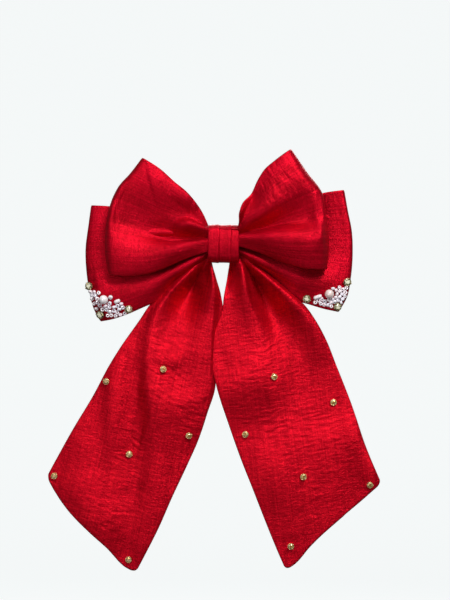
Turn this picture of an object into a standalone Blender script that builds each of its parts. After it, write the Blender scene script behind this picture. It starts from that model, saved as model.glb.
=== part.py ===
"""Hair bow with two layers of loops, two long tails, beaded corners and a French barrette.

The bow is stood up as it is worn, seen from its face: +X to the right, +Z up, the bow's face to -Y and the
head to +Y. The origin is the middle of the gap that the hair goes through, between the barrette's
tension bar and its clasp arm. Everything is in metres.
"""

import math

import bmesh
import bpy
from mathutils import Matrix, Vector
from mathutils.bvhtree import BVHTree

MM = 0.001
TOUCH_GAP = 0.3 * MM  # room between two pieces that rest on each other

# ---- Driving dimensions ----
KNOT_WIDTH = 20.4 * MM
KNOT_HALF_HEIGHT = 11.7 * MM
KNOT_WALL = 0.9 * MM

CLIP_LENGTH = 80 * MM
PLATE_WIDTH = 9 * MM
PLATE_THICKNESS = 0.8 * MM
PLATE_ARCH = 4.6 * MM
HAIR_GAP = 4.7 * MM  # between the crown of the tension bar and the clasp arm
ARM_WIDTH = 6.8 * MM
ARM_THICKNESS = 0.8 * MM
BAR_WIDTH = 5 * MM
BAR_THICKNESS = 0.6 * MM

TAIL_STONE_RADIUS = 2.0 * MM
CORNER_STONE_RADIUS = 2.35 * MM
PEARL_RADIUS = 3.1 * MM
SEED_RADIUS = 1.3 * MM
BUGLE_RADIUS = 1.25 * MM
FABRIC_WALL = 1.2 * MM  # two layers of silk with their stiffening
SEED_COUNT = 30
SEWING_THREAD_RADIUS = 0.2 * MM
GATHERING_THREAD_RADIUS = 0.22 * MM
BEAD_THREAD_RADIUS = 0.25 * MM

# ---- Depths, from the head (+Y) to the bow's face (-Y) ----
ARM_INNER_Y = HAIR_GAP / 2
ARM_Y = ARM_INNER_Y + ARM_THICKNESS / 2
BAR_CROWN_Y = -HAIR_GAP / 2 - BAR_THICKNESS / 2
PLATE_END_Y = -6.6 * MM
BACK_WAIST = (-13 * MM, -18.6 * MM)  # back and front faces of the back band's waist
TAIL_PIVOT_Y = -21.1 * MM
FRONT_WAIST = (-22.7 * MM, -29.6 * MM)
BACK_FOLD_Y = -16.5 * MM
FRONT_FOLD_Y = -27.5 * MM
BACK_PUFFS = (4.2 * MM, 1.8 * MM)  # how far a loop swells, to the front and to the back
FRONT_PUFFS = (12.5 * MM, -1 * MM)
KNOT_BACK_Y = -8.9 * MM
KNOT_FRONT_Y = -31.7 * MM

# ---- Joint axes ----
TAIL_PIVOT_X = 10 * MM
TAIL_PIVOT_Z = -8.5 * MM
TAIL_ROLL_RADIUS = 1.4 * MM
ARM_HINGE_X = -38.5 * MM
PIN_RADIUS = 0.7 * MM
BAR_HINGE_X = -35.6 * MM
BAR_HINGE_Y = -4.7 * MM
BAR_END_X = 27.2 * MM
CATCH_X = 33.7 * MM
CATCH_HINGE_Y = -4.7 * MM
CATCH_HINGE_Z = 1.3 * MM


# ---- Outlines in the bow's face, as (x, z) in millimetres ----
# Each loop has its top and bottom edges from the knot outwards, and its fold from bottom to top.
FRONT_LEFT = {
    "top": [(-10.8, 9.6), (-13.2, 18), (-24.8, 34.2), (-38.3, 46.2), (-53.1, 56.1)],
    "bottom": [(-10.8, -6), (-21.8, -9.5), (-44.6, -18.6), (-58.8, -20.3), (-75.2, -20.1)],
    "fold": [(-75.2, -20.1), (-76.9, -5), (-75.8, 16.6), (-69.5, 36), (-53.1, 56.1)],
}
FRONT_RIGHT = {
    "top": [(10.8, 9.6), (11.4, 22), (17.8, 34.7), (25.8, 48.3), (44, 62.2)],
    "bottom": [(10.8, -5), (24.6, -6.8), (36, -10.2), (47.4, -14.2), (67.7, -17.5)],
    "fold": [(67.7, -17.5), (69.2, -2.8), (67.3, 20), (60, 40.5), (44, 62.2)],
}
BACK_LEFT = {
    "top": [(-10.8, 7), (-40, 17), (-74.3, 24.9), (-87.6, 25.9)],
    "bottom": [(-10.8, -9), (-28, -22), (-47.5, -39.5), (-64.5, -47.1), (-81.2, -51.2)],
    "fold": [(-81.2, -51.2), (-88.6, -31.3), (-91.4, -8), (-90.2, 9), (-87.6, 25.9)],
}
BACK_RIGHT = {
    "top": [(10.8, 7), (40, 22), (64.9, 33.9), (79.6, 35.7)],
    "bottom": [(10.8, -8.5), (24.6, -17.4), (40, -29.5), (59.9, -41), (76.1, -45.1)],
    "fold": [(76.1, -45.1), (82.5, -31), (84.9, -5.6), (83.8, 14), (79.6, 35.7)],
}
# Each tail has its inner and outer edges from the knot downwards, and its slanted end from inner to outer.
LEFT_TAIL = {
    "inner": [(-11, -9), (-10.8, -14.5), (-5.6, -24), (-2.6, -34), (-2.6, -43), (-7.2, -61), (-7.4, -78),
              (-5.4, -93), (-11.7, -115.8), (-27, -154.1), (-44.5, -191.3), (-57.1, -214.9)],
    "outer": [(-15, -9), (-16.5, -15.5), (-29, -25.5), (-49, -43), (-62, -60), (-79.5, -88.4),
              (-99.2, -122.4), (-116, -152)],
    "end": [(-57.1, -214.9), (-77.4, -197.9), (-99.2, -177.1), (-116, -152)],
}
RIGHT_TAIL = {
    "inner": [(11, -9), (10.8, -14.5), (4.5, -23), (1, -34), (-0.9, -43), (-5.4, -61), (-6.1, -76),
              (-3.6, -93), (5.3, -125.7), (20.7, -165.1), (40.3, -212.7)],
    "outer": [(15, -9), (16.5, -14.5), (26, -21.5), (51, -41), (67.7, -63.3), (81.9, -95), (92.9, -129),
              (103.3, -155)],
    "end": [(40.3, -212.7), (56.8, -197.9), (78.7, -178.2), (103.3, -155)],
}
LEFT_TAIL_STONES = [(-39.6, -82.7), (-76.6, -90.4), (-22.9, -125.7), (-61.7, -138.1), (-110.3, -152.6),
                    (-61.8, -206.2)]
RIGHT_TAIL_STONES = [(33, -87.5), (72.1, -104.5), (14.4, -125.3), (51.9, -152.6), (96, -157.5),
                     (43.8, -197.9)]
# Each beaded corner has three stones, at the top of the fold side, at the corner and on the bottom edge.
LEFT_CORNER_STONES = [(-87.4, -27.5), (-80.6, -46.4), (-62.4, -42.8)]
RIGHT_CORNER_STONES = [(81, -25.5), (75, -41.2), (54.8, -36)]
LEFT_PEARL = (-78.3, -36.6)
RIGHT_PEARL = (69.4, -32.8)
# The tube-shaped beads, by their two ends.
LEFT_BUGLE = [(-71.9, -36.8), (-67.6, -39.2)]
RIGHT_BUGLE = [(59.4, -35.7), (64.8, -33.9)]


# ---- Curves and surfaces ----
def scaled(points):
    """Millimetre pairs as 2-D vectors in metres."""
    return [Vector((x * MM, z * MM)) for x, z in points]


def along(points, share):
    """The point at a share of the way along a smooth curve through the points."""
    lengths = [(b - a).length for a, b in zip(points, points[1:])]
    left = min(max(share, 0.0), 1.0) * sum(lengths)
    for i, length in enumerate(lengths):
        if left <= length or i == len(lengths) - 1:
            break
        left -= length
    before = points[max(i - 1, 0)]
    after = points[min(i + 2, len(points) - 1)]
    t = left / lengths[i]
    a, b = points[i], points[i + 1]
    start_pull = (b - before) * 0.5
    end_pull = (after - a) * 0.5
    return (
        a * (2 * t**3 - 3 * t**2 + 1)
        + b * (3 * t**2 - 2 * t**3)
        + start_pull * (t**3 - 2 * t**2 + t)
        + end_pull * (t**3 - t**2)
    )


def coons(low, high, start, end, u, v):
    """A point of the patch inside four edges: low and high run with u, start and end run with v."""
    across = along(low, u) * (1 - v) + along(high, u) * v
    down = along(start, v) * (1 - u) + along(end, v) * u
    corners = (low[0] * (1 - u) + low[-1] * u) * (1 - v) + (high[0] * (1 - u) + high[-1] * u) * v
    return across + down - corners


def mix(a, b, share):
    return a + (b - a) * share


def smooth_step(x):
    x = min(max(x, 0.0), 1.0)
    return x * x * (3 - 2 * x)


# ---- Materials ----
def material(name, colour, roughness, metallic=0.0):
    made = bpy.data.materials.new(name)
    made.use_nodes = True
    shader = made.node_tree.nodes["Principled BSDF"]
    shader.inputs["Base Color"].default_value = (*colour, 1)
    shader.inputs["Roughness"].default_value = roughness
    shader.inputs["Metallic"].default_value = metallic
    made.diffuse_color = (*colour, 1)
    return made


# ---- Objects ----
def add(name, mesh, finish, smooth_angle=None):
    made = bpy.data.objects.new(name, mesh)
    bpy.context.scene.collection.objects.link(made)
    mesh.materials.append(finish)
    if smooth_angle is not None:
        mesh.shade_smooth()
        mesh.set_sharp_from_angle(angle=math.radians(smooth_angle))
    return made


def mesh_from(name, bm):
    bmesh.ops.recalc_face_normals(bm, faces=bm.faces)
    mesh = bpy.data.meshes.new(name)
    bm.to_mesh(mesh)
    bm.free()
    return mesh


def pivot(name, place):
    """An empty on a joint's axis."""
    empty = bpy.data.objects.new(name, None)
    bpy.context.scene.collection.objects.link(empty)
    empty.location = place
    empty.empty_display_size = 5 * MM
    return empty


def hang(obj, empty):
    """Puts the object's origin on the empty and makes it the empty's child, without moving it."""
    shift = empty.location - obj.location
    obj.data.transform(Matrix.Translation(-shift))
    obj.location = (0, 0, 0)
    obj.parent = empty


def turned(name, profile, sides, finish, smooth_angle=40):
    """A solid turned round Z from a closed (radius, height) profile."""
    bm = bmesh.new()
    rings = []
    for radius, height in profile:
        if radius < 1e-9:
            rings.append([bm.verts.new((0, 0, height))])
            continue
        turns = [2 * math.pi * k / sides for k in range(sides)]
        rings.append([bm.verts.new((radius * math.cos(a), radius * math.sin(a), height)) for a in turns])
    for low, high in zip(rings, rings[1:] + rings[:1]):
        if len(low) == 1 and len(high) == 1:
            continue
        for k in range(sides):
            n = k + 1
            corners = [low[k % len(low)], low[n % len(low)], high[n % len(high)], high[k % len(high)]]
            bm.faces.new(list(dict.fromkeys(corners)))
    return add(name, mesh_from(name, bm), finish, smooth_angle)


def extruded(name, outline, low, high, axis, finish, smooth_angle=None):
    """A prism: outline is a list of 2-D points in the plane across axis, and low and high are along it."""
    def place(point, level):
        first, second = point
        return {"X": (level, first, second), "Y": (first, level, second), "Z": (first, second, level)}[axis]

    bm = bmesh.new()
    ends = [[bm.verts.new(place(p, level)) for p in outline] for level in (low, high)]
    bm.faces.new(ends[0])
    bm.faces.new(ends[1])
    for k in range(len(outline)):
        n = (k + 1) % len(outline)
        bm.faces.new((ends[0][k], ends[0][n], ends[1][n], ends[1][k]))
    return add(name, mesh_from(name, bm), finish, smooth_angle)


def thread(name, strands, radius, finish, closed=False):
    """Round thread along each strand's points, as one mesh."""
    curve = bpy.data.curves.new(name, "CURVE")
    curve.dimensions = "3D"
    curve.bevel_depth = radius
    curve.bevel_resolution = 1
    curve.use_fill_caps = not closed
    for points in strands:
        spline = curve.splines.new("POLY")
        spline.points.add(len(points) - 1)
        for spot, point in zip(spline.points, points):
            spot.co = (*point, 1)
        spline.use_cyclic_u = closed
    guide = bpy.data.objects.new(name + "_guide", curve)
    mesh = bpy.data.meshes.new_from_object(guide)
    bpy.data.objects.remove(guide)
    mesh.name = name
    bm = bmesh.new()
    bm.from_mesh(mesh)
    bmesh.ops.remove_doubles(bm, verts=bm.verts, dist=0.001 * MM)
    bpy.data.meshes.remove(mesh)
    return add(name, mesh_from(name, bm), finish, 60)


def combine(obj, other, operation):
    """Applies a Boolean of the other object to obj, and removes the other one."""
    modifier = obj.modifiers.new(operation.lower(), "BOOLEAN")
    modifier.operation = operation
    modifier.object = other
    modifier.use_self = operation == "UNION"
    graph = bpy.context.evaluated_depsgraph_get()
    mesh = bpy.data.meshes.new_from_object(obj.evaluated_get(graph))
    obj.modifiers.clear()
    obj.data = mesh
    bpy.data.objects.remove(other)


def arc(centre, radius, start, end, count):
    """Points on a circle between two angles in degrees."""
    turns = [math.radians(mix(start, end, k / (count - 1))) for k in range(count)]
    return [(centre[0] + radius * math.cos(a), centre[1] + radius * math.sin(a)) for a in turns]


# ---- Bands of loops ----
LOOP_COLUMNS = 9
BAND_LEVELS = 9


class Column:
    """One section of a band across its height: where it lies, and the depths of its faces."""

    def __init__(self, place, front, back, hollow):
        self.place, self.front, self.back, self.hollow = place, front, back, hollow

    def points(self, v):
        x, z = self.place(v)
        front, back = self.front(v), self.back(v)
        depths = [front, back]
        if self.hollow:
            wall = min(FABRIC_WALL, 0.35 * (back - front))
            depths = [front, front + wall, back - wall, back]
        return [(x, y, z) for y in depths]


def loop_columns(outline, waist, fold_y, front_puff, back_puff):
    """Columns of one loop from the knot out to its fold. waist is its (back, front) depths at the knot."""
    top, bottom, fold = (scaled(outline[edge]) for edge in ("top", "bottom", "fold"))
    start = [bottom[0], top[0]]
    columns = []
    for j in range(LOOP_COLUMNS + 1):
        u = j / LOOP_COLUMNS
        swell = math.sin(math.pi * u**0.75)
        blunt = FABRIC_WALL / 2

        def place(v, u=u):
            return coons(bottom, top, start, fold, u, v)

        def front(v, u=u, swell=swell):
            crown = 0.6 + 0.4 * math.sin(math.pi * v)
            return mix(waist[1], fold_y - blunt, smooth_step(u)) - front_puff * swell * crown

        def back(v, u=u, swell=swell):
            crown = 0.6 + 0.4 * math.sin(math.pi * v)
            return mix(waist[0], fold_y + blunt, smooth_step(u)) + back_puff * swell * crown

        columns.append(Column(place, front, back, 0 < j < LOOP_COLUMNS))
    return columns


def band(name, left, right, waist, fold_y, puffs, finish):
    """A band of fabric folded to the middle at both ends: two hollow loops and a solid, gathered waist."""
    columns = loop_columns(left, waist, fold_y, *puffs)[::-1] + loop_columns(right, waist, fold_y, *puffs)
    bm = bmesh.new()
    levels = [k / BAND_LEVELS for k in range(BAND_LEVELS + 1)]
    spots = [[[bm.verts.new(p) for p in c.points(v)] for c in columns] for v in levels]
    ends = (0, len(columns) - 1)
    for low, high in zip(spots, spots[1:]):
        for j in range(len(columns) - 1):
            chains = [0, -1]
            if columns[j].hollow and columns[j + 1].hollow:
                chains += [1, 2]
            for c in chains:
                bm.faces.new((low[j][c], low[j + 1][c], high[j + 1][c], high[j][c]))
            if columns[j].hollow != columns[j + 1].hollow:
                k = j if columns[j].hollow else j + 1
                bm.faces.new((low[k][1], low[k][2], high[k][2], high[k][1]))
        for j in ends:
            bm.faces.new((low[j][0], low[j][-1], high[j][-1], high[j][0]))
    for level in (spots[0], spots[-1]):
        for a, b in zip(level, level[1:]):
            if len(a) == 4 and len(b) == 4:
                bm.faces.new((a[0], b[0], b[1], a[1]))
                bm.faces.new((a[2], b[2], b[3], a[3]))
            else:
                bm.faces.new(a + b[::-1])
    return add(name, mesh_from(name, bm), finish, 50)


# ---- Tails ----
TAIL_ROWS = 22
TAIL_STRIPS = 6
TAIL_BULGE = 5 * MM
TAIL_HALF = 0.7 * MM


def tail_depth(z):
    """Depth of the middle of a tail: it comes forward below the knot and hangs back towards its end."""
    drop = (TAIL_PIVOT_Z - z) / (205 * MM)
    bulge = TAIL_BULGE * math.sin(math.pi * min(1.0, drop / 0.55))
    return TAIL_PIVOT_Y - bulge + 4.5 * MM * smooth_step((drop - 0.35) / 0.65)


def tail(name, outline, side, empty, finish):
    """A flat tube of fabric, hung on a roll whose axis is its joint's axis."""
    inner, outer, end = (scaled(outline[edge]) for edge in ("inner", "outer", "end"))
    start = [inner[0], outer[0]]
    bm = bmesh.new()
    faces = []
    for s in range(TAIL_ROWS + 1):
        share = (s / TAIL_ROWS) ** 1.3
        row = []
        for t in range(TAIL_STRIPS + 1):
            x, z = coons(inner, outer, start, end, share, t / TAIL_STRIPS)
            y = tail_depth(z)
            row.append((bm.verts.new((x, y - TAIL_HALF, z)), bm.verts.new((x, y + TAIL_HALF, z))))
        faces.append(row)
    for low, high in zip(faces, faces[1:]):
        for a, b, c, d in zip(low, low[1:], high[1:], high):
            for layer in (0, 1):
                bm.faces.new((a[layer], b[layer], c[layer], d[layer]))
        for edge in (0, -1):
            bm.faces.new((low[edge][0], low[edge][1], high[edge][1], high[edge][0]))
    for row in (faces[0], faces[-1]):
        for a, b in zip(row, row[1:]):
            bm.faces.new((a[0], b[0], b[1], a[1]))
    made = add(name, mesh_from(name, bm), finish, 50)
    roll_ends = sorted((side * 5.2 * MM, side * 13.2 * MM))
    round_end = arc((TAIL_PIVOT_Y, TAIL_PIVOT_Z), TAIL_ROLL_RADIUS, 0, 330, 12)
    combine(made, extruded("roll", round_end, *roll_ends, "X", finish), "UNION")
    hang(made, empty)
    return made


# ---- Knot and threads ----
def knot_section(inset):
    """The knot's outline from the side, as (y, z): high over both waists, drawn in round the clip's plate."""
    front, back = KNOT_FRONT_Y + inset, KNOT_BACK_Y - inset
    high, low = KNOT_HALF_HEIGHT - inset, 6.3 * MM - inset
    corner, back_corner = 2.4 * MM - inset / 2, 1.6 * MM - inset / 2
    shoulder = BACK_WAIST[0] + 0.4 * MM
    upper = arc((back - back_corner, low - back_corner), back_corner, 0, 60, 4)
    upper += arc((shoulder - 1.2 * MM, high - 1.2 * MM), 1.2 * MM, 45, 90, 4)
    upper += arc((front + corner, high - corner), corner, 90, 180, 6)
    return upper + [(y, -z) for y, z in reversed(upper)]


def knot(finish):
    """A strip wrapped round the waist of the bow and the clip's plate, and sewn to itself behind it."""
    made = extruded("knot_wrap", knot_section(0), -KNOT_WIDTH / 2, KNOT_WIDTH / 2, "X", finish, 40)
    hole = extruded("hole", knot_section(KNOT_WALL), -KNOT_WIDTH, KNOT_WIDTH, "X", finish)
    combine(made, hole, "DIFFERENCE")


def gathering_thread(finish):
    """Thread wound round the waist of both bands, inside the knot."""
    turns, corner = 3, 0.6 * MM
    front, back, high = FRONT_WAIST[1] - 0.55 * MM, BACK_WAIST[0] + 0.55 * MM, 10.1 * MM
    narrow = high - 1.2 * MM
    upper = [(front, high - corner), (front + corner, high), (back - 3 * corner, high), (back, narrow)]
    loop = [(y, -z) for y, z in upper[:1]] + upper + [(y, -z) for y, z in reversed(upper[1:])]
    points = []
    for k in range(turns * len(loop) + 1):
        x = mix(-2.5 * MM, 2.5 * MM, k / (turns * len(loop)))
        points.append((x, *loop[k % len(loop)]))
    thread("gathering_thread", [points], GATHERING_THREAD_RADIUS, finish)


def knot_stitches(finish):
    """A ladder of stitches along the seam where the wrap's end is turned under."""
    count = 8
    y = KNOT_BACK_Y + 0.55 * MM
    points = []
    for k in range(count + 1):
        x = mix(-8 * MM, 8 * MM, k / count)
        points.append((x, y, 0.9 * MM * (-1) ** k))
    thread("knot_stitches", [points], SEWING_THREAD_RADIUS, finish)


def clip_stitches(side, finish):
    """A loop of thread through one end hole of the plate and round its edge, which sews the bow down."""
    x = side * PLATE_HOLE_X
    y = plate_depth(x)
    turns = [2 * math.pi * k / 14 for k in range(14)]
    centre = PLATE_WIDTH / 4 + 0.35 * MM
    points = [(x, y + 1.0 * MM * math.cos(a), centre + 2.6 * MM * math.sin(a)) for a in turns]
    name = ("left" if side < 0 else "right") + "_clip_stitch"
    thread(name, [points], SEWING_THREAD_RADIUS, finish, closed=True)


# ---- Barrette ----
PLATE_SEGMENTS = 20
PLATE_HALF_SPAN = 31 * MM
PLATE_HOLE_X = 28.5 * MM
EAR_THICKNESS = 0.7 * MM
EAR_REACH = 1.8 * MM  # from the hinge pin's axis to the ear's tip
SEWING_HOLE_RADIUS = 1.1 * MM
RIVET_HOLE_RADIUS = 0.8 * MM
PIN_HEAD_HEIGHT = 0.6 * MM


def plate_depth(x):
    """Depth of the middle of the plate's thickness: arched away from the head."""
    return PLATE_END_Y - PLATE_ARCH * max(0.0, 1 - (x / PLATE_HALF_SPAN) ** 2)


def strip(name, depth, start, end, width, thickness, finish, segments=PLATE_SEGMENTS):
    """A bent strip of sheet metal whose depth is a function of x."""
    xs = [mix(start, end, k / segments) for k in range(segments + 1)]
    outline = [(x, depth(x) - thickness / 2) for x in xs]
    outline += [(x, depth(x) + thickness / 2) for x in reversed(xs)]
    return extruded(name, outline, -width / 2, width / 2, "Z", finish)


def block(low, high, finish):
    """A cutter or a lug between two corners."""
    outline = [(low[0], low[1]), (high[0], low[1]), (high[0], high[1]), (low[0], high[1])]
    return extruded("block", outline, low[2], high[2], "Z", finish)


def drill(obj, centre, radius, low, high, axis, finish):
    """Cuts a round hole along an axis."""
    combine(obj, extruded("drill", arc(centre, radius, 0, 337.5, 16), low, high, axis, finish), "DIFFERENCE")


def base_plate(finish):
    """The arched plate, with two ears for the hinge pin at one end and a sewing hole near each end."""
    made = strip("base_plate", plate_depth, -CLIP_LENGTH / 2, CLIP_LENGTH / 2, PLATE_WIDTH, PLATE_THICKNESS,
                 finish)
    for side in (-1, 1):
        drill(made, (side * PLATE_HOLE_X, 0), SEWING_HOLE_RADIUS, -20 * MM, 0, "Y", finish)
    tip = arc((ARM_HINGE_X, ARM_Y), EAR_REACH, 180, 0, 9)
    foot = PLATE_END_Y - 0.2 * MM
    ear = [(BAR_HINGE_X + 1.6 * MM, foot), (ARM_HINGE_X - 1.5 * MM, foot)] + tip
    for side in (-1, 1):
        inner, outer = side * (PLATE_WIDTH / 2 - EAR_THICKNESS), side * PLATE_WIDTH / 2
        combine(made, extruded("ear", ear, *sorted((inner, outer)), "Z", finish), "UNION")
    drill(made, (ARM_HINGE_X, ARM_Y), PIN_RADIUS + TOUCH_GAP, -PLATE_WIDTH, PLATE_WIDTH, "Z", finish)
    drill(made, (CATCH_X, 0), RIVET_HOLE_RADIUS, -20 * MM, 0, "Y", finish)
    return made


def hinge_pin(finish):
    """A rivet through both ears and the clasp arm's eye."""
    head, half = 1.25 * MM, PLATE_WIDTH / 2 + TOUCH_GAP
    tip = half + PIN_HEAD_HEIGHT
    upper = [(PIN_RADIUS, half), (head, half), (head * 0.7, tip), (0, tip)]
    profile = [(radius, -height) for radius, height in reversed(upper)] + upper
    made = turned("hinge_pin", profile, 12, finish)
    made.location = (ARM_HINGE_X, ARM_Y, 0)


def clasp_arm(empty, finish):
    """The arm that closes against the head: an eye round the pin, a flat strip and a window for the catch."""
    made = strip("clasp_arm", lambda x: ARM_Y, ARM_HINGE_X + 0.9 * MM, CLIP_LENGTH / 2 - 0.6 * MM, ARM_WIDTH,
                 ARM_THICKNESS, finish, segments=1)
    round_eye = arc((ARM_HINGE_X, ARM_Y), 1.55 * MM, 0, 337.5, 16)
    eye = extruded("eye", round_eye, -ARM_WIDTH / 2, ARM_WIDTH / 2, "Z", finish)
    combine(made, eye, "UNION")
    drill(made, (ARM_HINGE_X, ARM_Y), PIN_RADIUS + TOUCH_GAP, -PLATE_WIDTH, PLATE_WIDTH, "Z", finish)
    window = block((CATCH_X - 2.7 * MM, 0, -2.6 * MM), (CATCH_X + 2.7 * MM, 10 * MM, 2.6 * MM), finish)
    combine(made, window, "DIFFERENCE")
    hang(made, empty)


def bar_depth(x):
    """Depth of the tension bar: bowed towards the clasp arm between its rolled end and its free end."""
    share = (x - BAR_HINGE_X) / (BAR_END_X - BAR_HINGE_X)
    return BAR_HINGE_Y + (BAR_CROWN_Y - BAR_HINGE_Y) * math.sin(math.pi * share)


def tension_bar(empty, finish):
    """A bowed spring strip that presses the hair against the arm, on a roll between the ears."""
    made = strip("tension_bar", bar_depth, BAR_HINGE_X, BAR_END_X, BAR_WIDTH, BAR_THICKNESS, finish)
    half = 3.4 * MM
    roll = extruded("roll", arc((BAR_HINGE_X, BAR_HINGE_Y), 0.8 * MM, 0, 330, 12), -half, half, "Z", finish)
    combine(made, roll, "UNION")
    hang(made, empty)


def catch_base(finish):
    """The foot of the sprung catch, riveted to the plate's free end."""
    y = plate_depth(CATCH_X) + PLATE_THICKNESS / 2
    low, high = y + TOUCH_GAP, y + TOUCH_GAP + 0.6 * MM
    made = block((CATCH_X - 2.1 * MM, low, -2.2 * MM), (CATCH_X + 2.1 * MM, high, 2.2 * MM), finish)
    made.name = "catch_base"
    drill(made, (CATCH_X, 0), RIVET_HOLE_RADIUS, -20 * MM, 0, "Y", finish)
    head = 1.2 * MM
    front = plate_depth(CATCH_X) - PLATE_THICKNESS / 2 - TOUCH_GAP
    back = high + TOUCH_GAP
    profile = [(0, front - 0.5 * MM), (head * 0.8, front - 0.5 * MM), (head, front), (0.5 * MM, front),
               (0.5 * MM, back), (head * 0.8, back), (head * 0.8, back + 0.35 * MM), (0, back + 0.35 * MM)]
    rivet = turned("catch_rivet", profile, 10, finish)
    rivet.rotation_euler = (math.radians(-90), 0, 0)
    rivet.location = (CATCH_X, 0, 0)


def catch_prong(name, side, empty, finish):
    """One side of the catch: a blade up through the arm's window with a tooth, and a wing to squeeze."""
    foot, tip = CATCH_HINGE_Y - 0.25 * MM, ARM_Y + 2.1 * MM
    inner, outer = 1.35 * MM, 1.9 * MM
    tooth, tooth_y = 2.3 * MM, ARM_Y + ARM_THICKNESS / 2 + 0.4 * MM
    blade = outer - inner
    wing_low, wing_y = 7.0 * MM, -1.6 * MM
    wing_high, wing_end = wing_low + blade, wing_y + 1.6 * MM
    outline = [(foot, inner), (tip, inner), (tip, outer), (tooth_y, tooth), (tooth_y, outer),
               (wing_y + blade, outer), (wing_y + blade, wing_low), (wing_end, wing_low),
               (wing_end, wing_high), (wing_y, wing_high), (wing_y, outer), (foot, outer)]
    outline = [(y, side * z) for y, z in outline]
    made = extruded(name, outline, CATCH_X - 1.8 * MM, CATCH_X + 1.8 * MM, "X", finish)
    hang(made, empty)


# ---- Beads and stones ----
def surface_of(obj):
    """A search tree of the object's mesh in world space."""
    graph = bpy.context.evaluated_depsgraph_get()
    bm = bmesh.new()
    bm.from_object(obj, graph)
    bm.transform(obj.matrix_world)
    tree = BVHTree.FromBMesh(bm)
    bm.free()
    return tree


def on_surface(tree, x, z):
    """Where (x, z) lies on a surface seen from the front, and the surface's normal there."""
    start = Vector((x, 2 * KNOT_FRONT_Y, z))
    place, normal, _, _ = tree.ray_cast(start, Vector((0, 1, 0)))
    return place, normal if normal.y < 0 else -normal


def set_on(obj, place, normal, lift):
    """Stands the object's +Z along the normal, with its base a little way off the place."""
    obj.rotation_mode = "QUATERNION"
    obj.rotation_quaternion = normal.to_track_quat("Z", "Y")
    obj.location = place + normal * lift


def stone_with_setting(name, radius, place, normal, empty, glass, brass):
    """A faceted stone, and the metal cup that is sewn down and holds it."""
    seat = TOUCH_GAP + 0.5 * MM
    cup = [(0, 0), (0.75 * radius, 0), (1.12 * radius, 0.75 * radius), (1.12 * radius, 0.95 * radius),
           (radius + TOUCH_GAP / 2, 0.95 * radius), (radius + TOUCH_GAP / 2, 0.72 * radius),
           (0.45 * radius, 0.3 * MM), (0, 0.3 * MM)]
    setting = turned(name + "_setting", cup, 8, brass)
    cut = [(0, seat), (radius, seat + 0.62 * radius), (radius, seat + 0.72 * radius),
           (0.55 * radius, seat + 1.05 * radius), (0, seat + 1.05 * radius)]
    stone = turned(name, cut, 8, glass, smooth_angle=5)
    for piece in (setting, stone):
        set_on(piece, place, normal, TOUCH_GAP)
        bpy.context.view_layer.update()
        piece.data = piece.data.copy()
        piece.data.transform(piece.matrix_world)
        piece.rotation_quaternion = (1, 0, 0, 0)
        piece.location = (0, 0, 0)
        if empty is not None:
            hang(piece, empty)


def packed(corners, taken, count, spacing):
    """Spots spread evenly inside a triangle, clear of the (place, radius) circles already taken."""
    a, b, c = (Vector(corner) for corner in corners)
    spots = []
    steps = 24
    for i in range(steps + 1):
        for j in range(steps + 1 - i):
            spot = a + (b - a) * (i / steps) + (c - a) * (j / steps)
            if all((spot - Vector(place)).length > radius + SEED_RADIUS for place, radius in taken):
                if all((spot - other).length > spacing for other in spots):
                    spots.append(spot)
    return spots[:count]


def bugle_bead(name, tree, start, end, glass):
    """A tube-shaped bead lying on the fabric."""
    hole, half = 0.4 * MM, (end - start).length / 2
    upper = [(BUGLE_RADIUS, half * 0.85), (BUGLE_RADIUS * 0.8, half), (hole, half)]
    profile = [(radius, -height) for radius, height in reversed(upper)] + upper
    made = turned(name, profile, 10, glass)
    ends = [on_surface(tree, *spot)[0] for spot in (start, end)]
    normal = on_surface(tree, *((start + end) / 2))[1]
    made.rotation_mode = "QUATERNION"
    made.rotation_quaternion = (ends[1] - ends[0]).to_track_quat("Z", "Y")
    made.location = (ends[0] + ends[1]) / 2 + normal * (BUGLE_RADIUS + 2 * TOUCH_GAP)


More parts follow.
